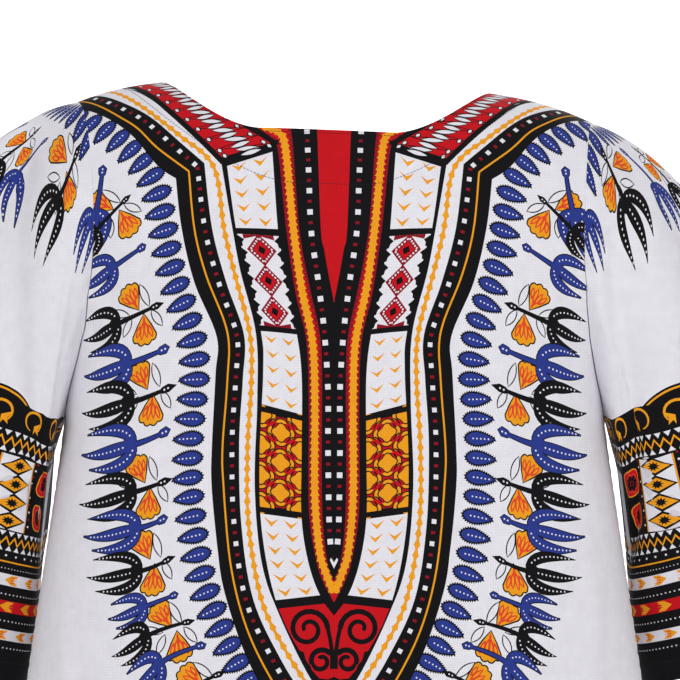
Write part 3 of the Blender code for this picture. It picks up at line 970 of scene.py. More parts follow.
def lobes_box(sheet, place, width, height, rows):
    """Red ground with orange four-lobed rounds in black rings, set in a net."""
    sheet.ink("red", place(box_edge(width, height)))
    pitch = height / rows
    for row in range(2 * rows + 1):
        inset = width / 2 if row % 2 else 1.0
        for x in sorted({inset, width - inset}):
            centre = x + 0.5j * pitch * row
            for angle in np.arange(4) * math.pi / 2:
                arc = centre + 9.2 * np.exp(1j * (angle + np.linspace(-0.46, 0.46, 7)))
                sheet.ink("black", place(stroke(arc, [2.2, 4.6, 5.4, 5.6, 5.4, 4.6, 2.2])))
                sheet.ink("orange", place(stroke(arc, [0.4, 2.4, 3.2, 3.4, 3.2, 2.4, 0.4])))
            sheet.ink("black", place(lobed(centre, 8.6, 4, 0.13)))
            sheet.ink("orange", place(lobed(centre, 7.5, 4, 0.13)))
            for angle in np.arange(4) * math.pi / 2 + math.pi / 4:
                arc = centre + 12.2 * np.exp(1j * (angle + np.linspace(-0.30, 0.30, 5)))
                sheet.ink("black", place(stroke(arc, [1.2] * 5)))


BOX_FILLS = {"chevrons": chevron_box, "diamonds": diamond_box, "lobes": lobes_box}


def scroll_panel(sheet):
    """The red panel under the column, with two black scrolls on each half."""
    edge = Line([(46, 434), (38, 452), (27, 471), (13, 490), (0, 505)])
    sheet.ink("red", np.concatenate([edge.points, [440j, 8 + 430j]]))
    foot = [490j, 10 + 491j, 18 + 487j, 23 + 478j, 25 + 470j, 31 + 468j, 14 + 495j, 508j]
    sheet.ink("black", np.array(foot))
    for centre, outer, turns, start in ((21.5 + 451j, 16.5, 1.55, -3.1), (10.8 + 477.5j, 10.0, 1.25, -2.5)):
        t = np.linspace(0.0, 1.0, 30)
        radius = 2.6 + (outer - 2.6) * (1 - t) ** 0.85
        path = centre + radius * np.exp(1j * (start + 2 * math.pi * turns * t))
        sheet.ink("black", stroke(path, 4.6 - 1.2 * t))
    sheet.ink("black", stroke(np.array([1.6 + 484j, 1.6 + 470j, 3.0 + 460j, 5.4 + 449j]), [3.4] * 4))
    crescent = np.array([489j, 5 + 491.4j, 12 + 490.6j, 17 + 486j, 19.5 + 480j])
    sheet.ink("red", stroke(crescent, [2.2, 2.2, 2.2, 2.0, 0.6]))


def squares_band(sheet, line, out, first=5.0, pitch=18.4, white=3.9):
    """White squares and small dark red ones by turns, beside a line."""
    for step, s in enumerate(line.every(pitch / 2, first)):
        way = line.way(s)
        centre = line.at(s) + way * -1j * out
        if centre.real < 3:
            break
        size = white / 2 if step % 2 == 0 else 1.35
        square = np.array([-1 - 1j, 1 - 1j, 1 + 1j, -1 + 1j]) * size
        if step % 2:
            square = square.real * 0.9 + 1.25j * square.imag
        sheet.ink("cloth" if step % 2 == 0 else "dark_red", centre + square * way)


def rickrack(sheet, line, wide, thin, pitch, ink="orange"):
    """A band along a line that swells and narrows, like a woven zigzag braid."""
    s = line.every(pitch / 4)
    widths = np.resize([wide, (wide + thin) / 2.4, thin, (wide + thin) / 2.4], len(s))
    points, way = line.at(s), line.way(s)
    lean = way * np.where(widths == wide, 0.9, 0.0)
    left, right = points + 1j * way * widths + lean, points - 1j * way * widths + lean
    sheet.ink(ink, np.concatenate([left, right[::-1]]))


def half_discs(sheet, line, out, radius, pitch, ink):
    """A row of discs along a line, half of which a later band covers."""
    for s in line.every(pitch, pitch / 2):
        way = line.way(s)
        centre = line.at(s) + way * -1j * out
        if centre.real > radius * 0.6:
            sheet.ink(ink, centre + radius * np.exp(2j * math.pi * np.arange(10) / 10) * way)


def collar_band(sheet):
    """The red band along the neck and shoulder, with white leaves and thin zigzags."""
    outer = Line([(190, -76), (155, -24), (132, 8), (94, 54)])
    inner = Line([(148, -76), (124, -36), (88, 14), (53, 42)])
    sheet.between("black", Line([(194, -76), (158, -22), (135, 12), (95, 60)]),
                  Line([(140, -80), (118, -36), (83, 8), (46, 42)]))
    sheet.ink("black", np.array([46 + 38j, 52 + 50j, 90 + 62j, 97 + 56j, 92 + 46j]))
    sheet.between("red", outer, inner)
    count = 11
    for step in range(count + 1):
        low = inner.at(inner.length * step / count)
        high = outer.at(outer.length * (step + 0.35) / count)
        away = inner.at(inner.length * min(step + 1, count) / count)
        for a, b in ((low, high), (high, away)):
            sheet.ink("black", stroke(np.array([a, (a + b) / 2, b]), [0.8] * 3))
        for one, other, ends in ((low, high, (0.26, 0.72)), (high, away, (0.30, 0.74))):
            shift = (inner.way(inner.length * min(step / count, 0.98))) * 3.6
            a, b = one + (other - one) * ends[0] + shift, one + (other - one) * ends[1] + shift
            white_leaf(sheet, a, b, 4.9)
        for line, turned in ((inner, -2.6), (outer, 2.6)):
            spot = line.at(line.length * (step + 0.55) / count)
            way = line.way(line.length * min((step + 0.55) / count, 0.98))
            white_leaf(sheet, spot - way * 2.6 + way * 1j * turned, spot + way * 2.8 + way * 1j * turned, 3.6)


def body_half(sheet):
    """The column of boxes and every band round it, from the outside in."""
    sheet.to_middle("black", OUTER_LINE)
    for kind, outer_top, inner_top, outer_end, inner_end, rows in BOXES:
        place, width, height = box_patch(outer_top, inner_top, outer_end, inner_end)
        BOX_FILLS[kind](sheet, place, width, height, rows)
    for outer_v, inner_v in BOX_BARS:
        a, b = BOX_OUTER.across(outer_v) + 1j * outer_v, BOX_INNER.across(inner_v) + 1j * inner_v
        sheet.ink("black", stroke(np.array([a + (a - b) * 0.05, b - (a - b) * 0.05]), [4.4] * 2))
    scroll_panel(sheet)
    sheet.between("black", INNER_LINE, BOX_OUTER)
    sheet.between("cloth", SQUARES_LINE, INNER_LINE)
    rickrack(sheet, RICKRACK_LINE, 2.9, 1.1, 9.0)
    sheet.between("black", OUTER_LINE, SQUARES_LINE)
    squares_band(sheet, SQUARES_LINE, 6.0)
    s = ORANGE_LINE.every(4.0)
    sheet.ink("orange", stroke(ORANGE_LINE.at(s), [1.5] * len(s)))
    sheet.to_middle("red", STRIP_OUTER)
    half_discs(sheet, STRIP_OUTER, -0.6, 2.6, 5.4, "dark_red")
    half_discs(sheet, STRIP_INNER, 0.6, 2.6, 5.4, "dark_red")
    strip = STRIP_OUTER.points[STRIP_OUTER.points.imag > STRIP_TOP]
    sheet.ink("black", np.concatenate([BOX_INNER.points, strip[::-1]]))
    collar_band(sheet)
    rickrack(sheet, STRIP_MIDDLE, 4.1, 2.5, 5.4)
    sheet.to_middle("black", STRIP_INNER, top=12.0)
    sheet.to_middle("red", V_LINE)
    squares_band(sheet, BEADS_LINE, 0.0, first=4.0, pitch=18.4, white=4.6)
    sheet.ink("cloth", np.array([0 + 396j, 2.4 + 392j, 3.4 + 394j, 0 + 401j]))


def body_leaves_and_birds(sheet):
    """The ring of blue leaves, with the birds and flowers outside it."""
    for s in LEAF_LINE.every(16.4, 6.0):
        centre, way = LEAF_LINE.at(s), LEAF_LINE.way(s, 9.0)
        if centre.real > 9:
            comb_leaf(sheet, centre, way * 1j)
    for ink, head, join, tip in BIRDS:
        if ink == "black" and head.imag > 50:
            beside_bird(sheet, head, tip)
    for ink, head, join, tip in BIRDS:
        bird(sheet, ink, head, tip, join)


def hem_border(sheet):
    """Rows of the border that runs all round the hem, both halves at once."""
    border_rows(sheet, lambda across, height: across + 1j * (LENGTH / MM + 6 - height), 340.0, tiles=False)


# ---- The sleeve's print ----


def border_rows(sheet, up, half, tiles=True):
    """Rows of a border by their height up from the edge. up() gives the flat place at across and height."""

    def row(ink, low, high):
        across = np.arange(-half, half + 1, 6.0)
        sheet.ink(ink, np.concatenate([up(across, low), up(across[::-1], high)]))

    def cells(pitch, width):
        return np.arange(-half + pitch / 2, half - width / 2, pitch)

    def shape(ink, x, points):
        points = np.asarray(points, complex)
        sheet.ink(ink, up(x + points.real, points.imag))

    def dots(height, pitch, radius):
        for x in cells(pitch, 2 * radius):
            shape("cloth", x, disc(1j * height, radius, 5))

    def arrows(low, high, ink_row, ink, pitch):
        row(ink_row, low, high)
        middle, reach = (low + high) / 2, (high - low) / 2 - 0.8
        for x in cells(pitch, pitch):
            top, foot = 1j * (middle + reach), 1j * (middle - reach)
            shape(ink, x, [-7 + 1j * middle, top, 7 + top, 1.5 + 1j * middle, 7 + foot, foot])
            for height in (-0.5, 0.0, 0.5):
                y = middle + height * reach
                shape("flame" if ink_row == "cloth" else "orange", x,
                      [-1 + 1j * (y - 0.6), 7.5 + 1j * y, -1 + 1j * (y + 0.6)])

    def triangles(low, high, pitch, ink):
        for x in cells(pitch, pitch):
            shape(ink, x, [-pitch * 0.36 + 1j * low, pitch * 0.36 + 1j * low, 1j * high])

    row("black", -8, 252 if tiles else 118)
    dots(31, 4.2, 0.8)
    arrows(38, 48, "cloth", "orange", 23.0)
    dots(56, 4.2, 0.8)
    arrows(64, 75, "red", "orange", 23.0)
    dots(81, 4.2, 0.8)
    arrows(89, 100, "cloth", "orange", 23.0)
    dots(105, 3.4, 0.6)
    row("orange", 110.5, 112)
    if not tiles:
        return
    dots(117, 10.5, 1.2)
    for low in (121.5, 208.5):
        triangles(low, low + 4.6, 8.4, "cloth")
        triangles(low + 18.0, low + 13.4, 8.4, "cloth")
        across = np.arange(-half, half, 4.2)
        height = low + np.where(np.arange(len(across)) % 2, 5.5, 12.5)
        sheet.ink("orange", np.concatenate([up(across, height + 1.3), up(across[::-1], height[::-1] - 1.3)]))
    tile_row(shape, half)
    curl_row(shape, half)


def tile_row(shape, half):
    """Tiles between the zigzags: diamonds and triangles, dotted stripes, and red tiles with flowers."""
    low, high = 141.0, 206.5
    size = (high - low) / 2
    pitch = 82.0

    def upright(half_width):
        return [-half_width + 1j * low, half_width + 1j * low, half_width + 1j * high, 1j * high - half_width]

    for x in np.arange(-half - pitch, half + pitch, pitch):
        if abs(x) + pitch / 2 >= half + 4:
            continue
        shape("cloth", x, upright(18))
        for step in range(4):
            y = low + size * 2 * (step + 0.5) / 4
            diamond = [-18 + 1j * (y - 2), 1j * (y - 8.6), 18 + 1j * (y + 2), 1j * (y + 8.6)]
            shape("black", x, diamond)
            shape("orange", x, [complex(p.real * 0.84, y + (p.imag - y) * 0.72) for p in diamond])
            star = [(5.4 if k % 2 else 3.0) * np.exp(1j * math.pi * k / 9) for k in range(18)]
            shape("black", x, [complex(p.real * 1.25, y + p.imag * 0.82) for p in star])
        for side in (-1, 1):
            shape("orange", x + side * 18.8, upright(0.7))
            for step in range(5):
                y = low + size * 2 * (step + 0.5) / 5
                shape("cloth", x + side * 22.6, disc(1j * y, 1.1, 6))
                shape("dark_red", x + side * 22.6, disc(1j * (y + size / 5), 1.3, 4))
        for step in (0, 1):
            y = low + size * (step + 0.5)
            x_tile = x + pitch / 2
            shape("orange", x_tile, lobed(1j * y, 14.2, 4, 0.07, turned=math.pi / 4))
            shape("red", x_tile, lobed(1j * y, 13.2, 4, 0.08, turned=math.pi / 4))
            shape("flame", x_tile, lobed(1j * y, 9.4, 8, 0.07))
            shape("dark_red", x_tile, lobed(1j * y, 8.4, 8, 0.07))
            for petal in range(8):
                way = np.exp(1j * math.pi * petal / 4)
                shape("black", x_tile, lens(1j * y + 1.6 * way, 1j * y + 7.4 * way, 3.6, 5))
            shape("black", x_tile, disc(1j * y, 1.5, 8))


def curl_row(shape, half):
    """Orange curls on black along the top of the border, and the scalloped edge over them."""
    for x in np.arange(-half + 16, half - 12, 33.0):
        angle = np.linspace(-0.9, 4.6, 16)
        ring = 9.6 * np.exp(1j * angle) * (1 - 0.02 * angle) + 1j * 241
        shape("orange", x, stroke(ring, 0.8 + 1.6 * np.sin(np.linspace(0.2, math.pi, 16))))
        shape("orange", x, np.array([2 + 238j, 10 + 243j, 7 + 236j, 9 + 231j, 4.5 + 234j, 3 + 230j]))


def sleeve_border_top(sheet, sleeve):
    """The black top of the border: it rises in scallops from the underarm to the outer side."""
    half = sleeve.widths[-1] / 2
    across = np.arange(-half, half + 1, 2.0)
    rise = 236 + 44 * np.exp(-((across / 150) ** 4))
    scallop = 5.5 * np.abs(np.sin(math.pi * across / 42)) ** 0.8
    height = rise + scallop
    limit = sleeve.length(across / sleeve.widths[-1]) - 6
    for ink, drop in (("black", 0.0), ("orange", 2.0), ("black", 3.8)):
        top = np.minimum(height - drop, limit - drop)
        low = np.full_like(across, 200.0)
        sheet.ink(ink, np.concatenate([sleeve.up(across, top), sleeve.up(across[::-1], low)]))


# Sleeve cap: birds as ink, head, neck joint and tip, in mm across from the top line and down
CAP_BIRDS = {
    "left": (
        ("blue", 111 + 38j, 99 + 80j, 116 + 120j),
        ("blue", 172 - 28j, 200 + 0j, 218 + 36j),
        ("black", 144 + 11j, 160 + 44j, 165 + 98j),
        ("black", 68 + 40j, 64 + 84j, 72 + 132j),
        ("blue", 20 + 44j, 6 + 92j, 4 + 136j),
        ("black", -32 + 40j, -40 + 88j, -44 + 132j),
        ("blue", -84 + 36j, -92 + 80j, -96 + 124j),
        ("black", -138 + 14j, -150 + 56j, -136 + 108j),
    ),
    "right": (
        ("blue", 148 - 28j, 177 + 0j, 190 + 36j),
        ("black", 115 + 14j, 131 + 48j, 144 + 96j),
        ("blue", 80 + 30j, 86 + 74j, 94 + 120j),
        ("black", 42 + 40j, 46 + 86j, 50 + 134j),
        ("blue", 2 + 44j, 4 + 92j, 4 + 138j),
        ("black", -42 + 40j, -44 + 86j, -48 + 132j),
        ("blue", -88 + 34j, -92 + 78j, -98 + 122j),
        ("black", -136 + 12j, -148 + 54j, -138 + 106j),
    ),
}
CAP_LEAVES = 19
CAP_LEAF_PITCH = 16.4


def sleeve_cap(sheet, name):
    """The body's ring of leaves and birds goes on over the top of the sleeve."""
    for step in range(CAP_LEAVES):
        across = (step - (CAP_LEAVES - 1) / 2) * CAP_LEAF_PITCH
        down = 20 - 15 * (across / 140) ** 2
        if down > -6:
            comb_leaf(sheet, across + 1j * down, -1j * np.exp(-0.5j * across / 140))
    birds = CAP_BIRDS[name]
    for ink, head, join, tip in birds:
        if ink == "black":
            beside_bird(sheet, head, tip)
    for ink, head, join, tip in birds:
        bird(sheet, ink, head, tip, join)


def sleeve_print(name, sleeve):
    """The whole print of a sleeve."""
    sheet = Print()
    sleeve_cap(sheet, name)
    sleeve_border_top(sheet, sleeve)
    border_rows(sheet, sleeve.up, sleeve.widths[-1] / 2 + 2)
    return sheet


def body_print():
    """The whole print of a panel: its border, and one half mirrored."""
    sheet = Print()
    hem_border(sheet)
    sheet.mirrored = True
    body_leaves_and_birds(sheet)
    body_half(sheet)
    return sheet


# ======== Making the pieces ========


def clean(shape):
    """The shape without repeated places, turned the way the triangulation needs, or None."""
    shape = shape[np.abs(shape - np.roll(shape, 1)) > SHORTEST_EDGE]
    if len(shape) < 3:
        return None
    after = np.roll(shape, -1)
    area = (shape.real * after.imag - shape.imag * after.real).sum() / 2
    if abs(area) < SMALLEST_SHAPE:
        return None
    return shape if area > 0 else shape[::-1]


def triangulate(outline, shapes, spots):
    """Triangles of a flat piece cut along its shapes: places, triangles, and the last shape over each."""
    outline = clean(outline)
    low = complex(outline.real.min(), outline.imag.min()) - 2 - 2j
    high = complex(outline.real.max(), outline.imag.max()) + 2 + 2j
    places, faces, inks = list(outline), [list(range(len(outline)))], ["cloth"]
    for ink, shape in shapes:
        shape = clean(shape)
        if shape is None or shape.real.max() < low.real or shape.real.min() > high.real:
            continue
        if shape.imag.max() < low.imag or shape.imag.min() > high.imag:
            continue
        faces.append(list(range(len(places), len(places) + len(shape))))
        places += list(shape)
        inks.append(ink)
    places += list(spots)
    flat = [Vector((place.real, place.imag)) for place in places]
    found = delaunay_2d_cdt(flat, [], faces, 1, JOIN_WITHIN, True)
    points = np.array([complex(*place) for place in found[0]])
    triangles, colours = [], []
    for triangle, sources in zip(found[2], found[5]):
        if 0 in sources:
            triangles.append(triangle)
            colours.append(inks[max(sources)])
    used, triangles = np.unique(np.array(triangles), return_inverse=True)
    return points[used], triangles.reshape(-1, 3), colours


def edge_loops(triangles):
    """The loops of edges that only one triangle has."""
    sides = {}
    for a, b, c in triangles:
        for one, other in ((a, b), (b, c), (c, a)):
            if (other, one) in sides:
                del sides[(other, one)]
            else:
                sides[(one, other)] = True
    after = dict(sides.keys())
    loops = []
    while after:
        start, loop = next(iter(after)), []
        place = start
        while place in after:
            loop.append(place)
            place = after.pop(place)
        loops.append(loop)
    return loops


def inset_grid(outline, step):
    """Places inside a piece: an even grid, and one row just inside its edge."""
    rows = np.arange(outline.imag.min(), outline.imag.max(), step * ROW_SHARE)
    spots = []
    for number, v in enumerate(rows):
        across = np.arange(outline.real.min() + (number % 2) * step / 2, outline.real.max(), step)
        spots.append(across + 1j * v)
    spots = np.concatenate(spots)
    loop = clean(outline)
    way = np.roll(loop, -1) - np.roll(loop, 1)
    inner = loop + 1j * way / np.abs(way) * EDGE_ROLL
    distance = np.min(np.abs(spots[:, None] - loop[None, ::2]), axis=1)
    return np.concatenate([spots[(distance > EDGE_CLEAR) & inside(spots, loop)], inner[inside(inner, loop)]])


def inside(spots, loop):
    """Which spots are inside a loop."""
    found = np.zeros(len(spots), bool)
    for a, b in zip(loop, np.roll(loop, -1)):
        crosses = (a.imag > spots.imag) != (b.imag > spots.imag)
        if a.imag == b.imag:
            continue
        at = a.real + (spots.imag - a.imag) * (b.real - a.real) / (b.imag - a.imag)
        found ^= crosses & (spots.real < at)
    return found


def printed_wall(name, outline, sheet, lay, seams, thickness, step, flip):
    """A piece of printed cloth as one closed wall: the print outside, the plain reverse inside."""
    outline = clean(outline)
    spots = inset_grid(outline, step)
    flat, triangles, colours = triangulate(outline, sheet.shapes, spots)
    points, normals = lay(flat)
    edge = outline[seams(outline)]
    if len(edge):
        near = np.array([np.min(np.abs(edge - place)) for place in flat])
        points = points - normals * (EDGE_DIP * np.clip(1 - near / EDGE_ROLL, 0.0, 1.0))[:, None]
    loops = edge_loops([tuple(triangle) for triangle in triangles])
    loops = [loop for loop in loops if len(loop) > 8]
    ring = [place for loop in loops for place in loop]
    inner_flat, inner_triangles, _ = triangulate(flat[ring], [], spots)
    ring_of = {}
    for number, place in enumerate(flat[ring]):
        ring_of[ring[number]] = int(np.argmin(np.abs(inner_flat - place)))
    inner_points, inner_normals = lay(inner_flat)
    inner_points = inner_points - inner_normals * thickness
    for outer, inner in ring_of.items():
        inner_points[inner] = points[outer] - normals[outer] * thickness
    count = len(points)
    faces = [tuple(triangle) for triangle in triangles]
    faces += [tuple(count + place for place in triangle[::-1]) for triangle in inner_triangles]
    for loop in loops:
        for a, b in zip(loop, loop[1:] + loop[:1]):
            inner = [count + ring_of[a], count + ring_of[b]]
            faces.append((b, a, *inner) if inner[0] != inner[1] else (b, a, inner[0]))
    if flip:
        faces = [face[::-1] for face in faces]
    ink_of = colours + ["cloth"] * len(inner_triangles)
    rim = {}
    for triangle, colour in zip(triangles, colours):
        for place in triangle:
            rim[int(place)] = colour
    for loop in loops:
        ink_of += [rim[place] for place in loop]
    mesh = bpy.data.meshes.new(name)
    mesh.from_pydata(np.concatenate([points, inner_points]).tolist(), [], faces)
    palette = {ink: chosen_colour(ink) for ink in set(ink_of)}
    attribute = mesh.color_attributes.new("ink", "FLOAT_COLOR", "CORNER")
    totals = np.array([len(face) for face in faces])
    corner_colours = np.repeat(np.array([palette[ink] for ink in ink_of]), totals, axis=0)
    attribute.data.foreach_set("color", corner_colours.ravel())
    slots = np.zeros(len(faces), int)
    slots[len(triangles) : len(triangles) + len(inner_triangles)] = 1
    mesh.materials.append(printed_cotton())
    mesh.materials.append(reverse_cotton())
    mesh.polygons.foreach_set("material_index", slots)
    mesh.polygons.foreach_set("use_smooth", np.ones(len(faces), bool))
    all_normals = np.concatenate([normals, -inner_normals])
    if not np.isfinite(all_normals).all():
        raise RuntimeError(f"{name} has places where the cloth has no normal")
    if mesh.validate():
        print(f"{name}: faulty faces taken out")
    mesh.normals_split_custom_set_from_vertices(all_normals.tolist())
    piece = bpy.data.objects.new(name, mesh)
    bpy.context.scene.collection.objects.link(piece)
    return piece


def declare(piece, node):
    """Attaches a piece of cloth to the root body and hides the CAD part, named node, that it stands in for.
    """
    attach(piece, "root")
    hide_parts(node)


# ---- Materials ----


def chosen_colour(name):
    """The linear colour that the sidebar holds for an ink, a plain cloth or the thread."""
    return (*getattr(bpy.context.scene.dashiki_colours, name), 1.0)


def add_node(tree, kind, settings=None, inputs=None, links=()):
    """Adds a node with its settings, its socket values, and links from other nodes' outputs."""
    node = tree.nodes.new(kind)
    for key, value in (settings or {}).items():
        setattr(node, key, value)
    for key, value in (inputs or {}).items():
        node.inputs[key].default_value = value
    for socket, (source, output) in dict(links).items():
        tree.links.new(source.outputs[output], node.inputs[socket])
    return node


THREAD_SPACING = 0.0021724  # a plain weave of 0.4 mm, drawn this coarse so that it shows
SLUB_LENGTH = 0.012
WRINKLES_PER_METRE = 9.0
COTTON_ROUGHNESS = 0.82
COTTON_SHEEN = 0.04
COTTON_GLOSS = 0.12  # thirsty fibre ends leave far less gloss than a smooth skin's 0.5


def cotton(name, plain=None):
    """Plain-weave cotton poplin: matt, with a fine grid of threads, slubs and soft press wrinkles."""
    found = bpy.data.materials.get(name)
    if found:
        return found
    material = bpy.data.materials.new(name)
    material.use_nodes = True
    tree = material.node_tree
    tree.nodes.clear()
    place = add_node(tree, "ShaderNodeTexCoord")
    threads = []
    for axis, wander in (("X", 0.6), ("Z", 0.95)):
        threads.append(add_node(tree, "ShaderNodeTexWave",
                                {"wave_type": "BANDS", "bands_direction": axis, "wave_profile": "SIN"},
                                {"Scale": math.pi / 10 / THREAD_SPACING, "Distortion": wander, "Detail": 1.0,
                                 "Detail Scale": 3.0}, {"Vector": (place, "Object")}))
    weave = add_node(tree, "ShaderNodeMath", {"operation": "MAXIMUM"},
                     links={0: (threads[0], "Fac"), 1: (threads[1], "Fac")})
    slubs = add_node(tree, "ShaderNodeTexNoise", {},
                     {"Scale": 1 / SLUB_LENGTH, "Detail": 6.0, "Roughness": 0.7},
                     {"Vector": (place, "Object")})
    wrinkles = add_node(tree, "ShaderNodeTexNoise", {},
                        {"Scale": WRINKLES_PER_METRE, "Detail": 3.0, "Roughness": 0.45, "Distortion": 0.4},
                        {"Vector": (place, "Object")})
    shade = add_node(tree, "ShaderNodeMapRange", {},
                     {"From Min": 0.3, "From Max": 0.7, "To Min": 0.93, "To Max": 1.03},
                     {"Value": (slubs, "Fac")})
    woven = add_node(tree, "ShaderNodeMapRange", {},
                     {"From Min": 0.0, "From Max": 1.0, "To Min": 0.92, "To Max": 1.02},
                     {"Value": (weave, 0)})
    both = add_node(tree, "ShaderNodeMath", {"operation": "MULTIPLY"},
                    links={0: (shade, 0), 1: (woven, 0)})
    colour = add_node(tree, "ShaderNodeMix", {"data_type": "RGBA", "blend_type": "MULTIPLY"}, {0: 1.0},
                      {7: (both, 0)})
    if plain is None:
        ink = add_node(tree, "ShaderNodeVertexColor", {"layer_name": "ink"})
        tree.links.new(ink.outputs["Color"], colour.inputs[6])
    else:
        colour.inputs[6].default_value = chosen_colour(plain)
    fine = add_node(tree, "ShaderNodeBump", {}, {"Strength": 0.18, "Distance": 0.0002},
                    {"Height": (weave, 0)})
    soft = add_node(tree, "ShaderNodeBump", {}, {"Strength": 0.30, "Distance": 0.0030},
                    {"Height": (wrinkles, "Fac"), "Normal": (fine, 0)})
    shader = add_node(tree, "ShaderNodeBsdfPrincipled", {},
                      {"Roughness": COTTON_ROUGHNESS, "Sheen Weight": COTTON_SHEEN, "Sheen Roughness": 0.5,
                       "Specular IOR Level": COTTON_GLOSS}, {"Base Color": (colour, 2), "Normal": (soft, 0)})
    add_node(tree, "ShaderNodeOutputMaterial", links={"Surface": (shader, 0)})
    return material


# The wax print soaks in: flat, hard-edged inks as matt as the cloth, with the weave showing through them
def printed_cotton():
    return cotton("wax-printed plain-weave cotton")


# Little of the print comes through to the back of the cloth: a plain, slightly greyer white
def reverse_cotton():
    return cotton("plain-weave cotton, reverse side", "reverse")


# Unprinted cloth of the same weave: a clean matt white inside the neck
def facing_cotton():
    return cotton("plain-weave cotton, pale facing", "facing")


# Two plies of dark yarn: small dull ridges that read as a fine broken line. Their near-black colour is partly
# painted shade: it also stands for the shade in the groove the stitching presses into the cloth, which has no
# shape of its own here.
def thread_and_groove_shade_cotton():
    return cotton("twisted cotton sewing thread", "thread")


def plain_material(name, inputs):
    """A material with uniform values on its shader's own sockets."""
    material = bpy.data.materials.new(name)
    material.use_nodes = True
    shader = material.node_tree.nodes["Principled BSDF"]
    for socket, value in inputs.items():
        shader.inputs[socket].default_value = value
    return material


# Uncoated paper: dull and almost white, so that the shirt's shadow on it stays soft and pale
def backdrop_paper():
    return plain_material("matt white backdrop paper", {"Base Color": linear(PAPER), "Roughness": 0.9})


# Card lit from behind: an even white field on which nothing casts a shadow
def lit_card():
    return plain_material("back-lit white card",
                          {"Emission Color": linear(WHITE), "Emission Strength": CARD_GLOW})


# ---- Colours and sizes that a user would change ----


def colour_property(name, description):
    """A colour of the sidebar, which starts as its own sRGB value turned linear."""
    label = name.replace("_", " ").capitalize()
    return FloatVectorProperty(name=label, description=description, default=linear(COLOURS[name])[:3],
                               subtype="COLOR", size=3, min=0.0, max=1.0)


def length_property(name, description, default):
    """A length of the sidebar, in metres."""
    return FloatProperty(name=name, description=description, default=default, unit="LENGTH")


class ShirtColours(bpy.types.PropertyGroup):
    cloth: colour_property("cloth", "White ground of the print")
    black: colour_property("black", "Bands, outlines and every other bird")
    red: colour_property("red", "Neck band, middle strip and tiles")
    dark_red: colour_property("dark_red", "Half discs, diamonds and small squares")
    orange: colour_property("orange", "Zigzags, flowers, ticks and lobes")
    flame: colour_property("flame", "Loops in the flowers")
    blue: colour_property("blue", "Combed leaves and every other bird")
    reverse: colour_property("reverse", "Inside of the printed cloth")
    facing: colour_property("facing", "Facings inside the neck")
    # Thread colour, near black: partly painted shade of the groove along the stitching
    thread: colour_property("thread", "Sewing thread")


class ShirtSizes(bpy.types.PropertyGroup):
    cloth: length_property("Cloth", "Thickness of the printed cotton", 0.0006)
    facing: length_property("Facing", "Thickness of the facings", 0.0006)
    grid: length_property("Grid", "Widest step of the cloth's mesh", 0.0075)


class StitchSizes(bpy.types.PropertyGroup):
    length: length_property("Stitch", "Length of one stitch", 0.0026)
    gap: length_property("Gap", "Cloth between two stitches", 0.0006)
    thread: length_property("Thread", "Thickness of the thread", 0.00045)
    hem: length_property("Hem", "Depth of the turned hem", 0.018)


class StudioSizes(bpy.types.PropertyGroup):
    distance: length_property("Distance", "From the camera to the neck", 2.708)
    height: length_property("Height", "Height of the camera", -0.2108)
    lens: FloatProperty(name="Lens", description="Focal length", default=165.2, unit="CAMERA")
    sky: FloatProperty(name="Soft light", description="Strength of the even light from all round",
                       default=0.55, subtype="FACTOR")
    key: FloatProperty(name="Key light", description="Power of the large front light",
                       default=27.0, unit="POWER")


# ---- Operators ----


def make_panel(face):
    sizes = bpy.context.scene.dashiki_sizes
    outline = panel_outline(face)

    def lay(flat):
        return on_panel(face, flat.real * MM, flat.imag * MM)

    def seams(edge):
        hem = edge.imag > (LENGTH - HEM_FREE) / MM
        neck = np.abs(edge.real - NECK_MIDDLE / MM) < NECK / MM
        neck &= (edge.imag < NECK_FREE_DOWN) & (np.abs(edge.real) < NECK_FREE_ACROSS)
        return ~hem & ~neck

    piece = printed_wall(face + "_printed_panel", outline, body_print(), lay, seams, sizes.cloth,
                         sizes.grid / MM, flip=face == "back")
    declare(piece, face + "_panel")
    return piece


class DASHIKI_OT_panels(bpy.types.Operator):
    """Make the printed back and front panels"""

    bl_idname = "dashiki.panels"
    bl_label = "Body panels"

    def execute(self, context):
        for face in ("back", "front"):
            make_panel(face)
        return {"FINISHED"}


def at_armhole(edge):
    """Which places of a sleeve's edge are sewn to the armhole."""
    return edge.imag < 0.5


def nowhere(edge):
    """A facing's edges don't roll under."""
    return np.zeros(len(edge), bool)


class DASHIKI_OT_sleeves(bpy.types.Operator):
    """Make the two printed sleeves"""

    bl_idname = "dashiki.sleeves"
    bl_label = "Sleeves"

    def execute(self, context):
        sizes = context.scene.dashiki_sizes
        for name in ("left", "right"):
            sleeve = Sleeve(name)
            outline = sleeve.outline()
            print_on_it = sleeve_print(name, sleeve)
            piece = printed_wall(name + "_printed_sleeve", outline, print_on_it, sleeve.on, at_armhole,
                                 sizes.cloth, sizes.grid / MM, flip=name == "left")
            declare(piece, "sleeve_" + name)
        return {"FINISHED"}


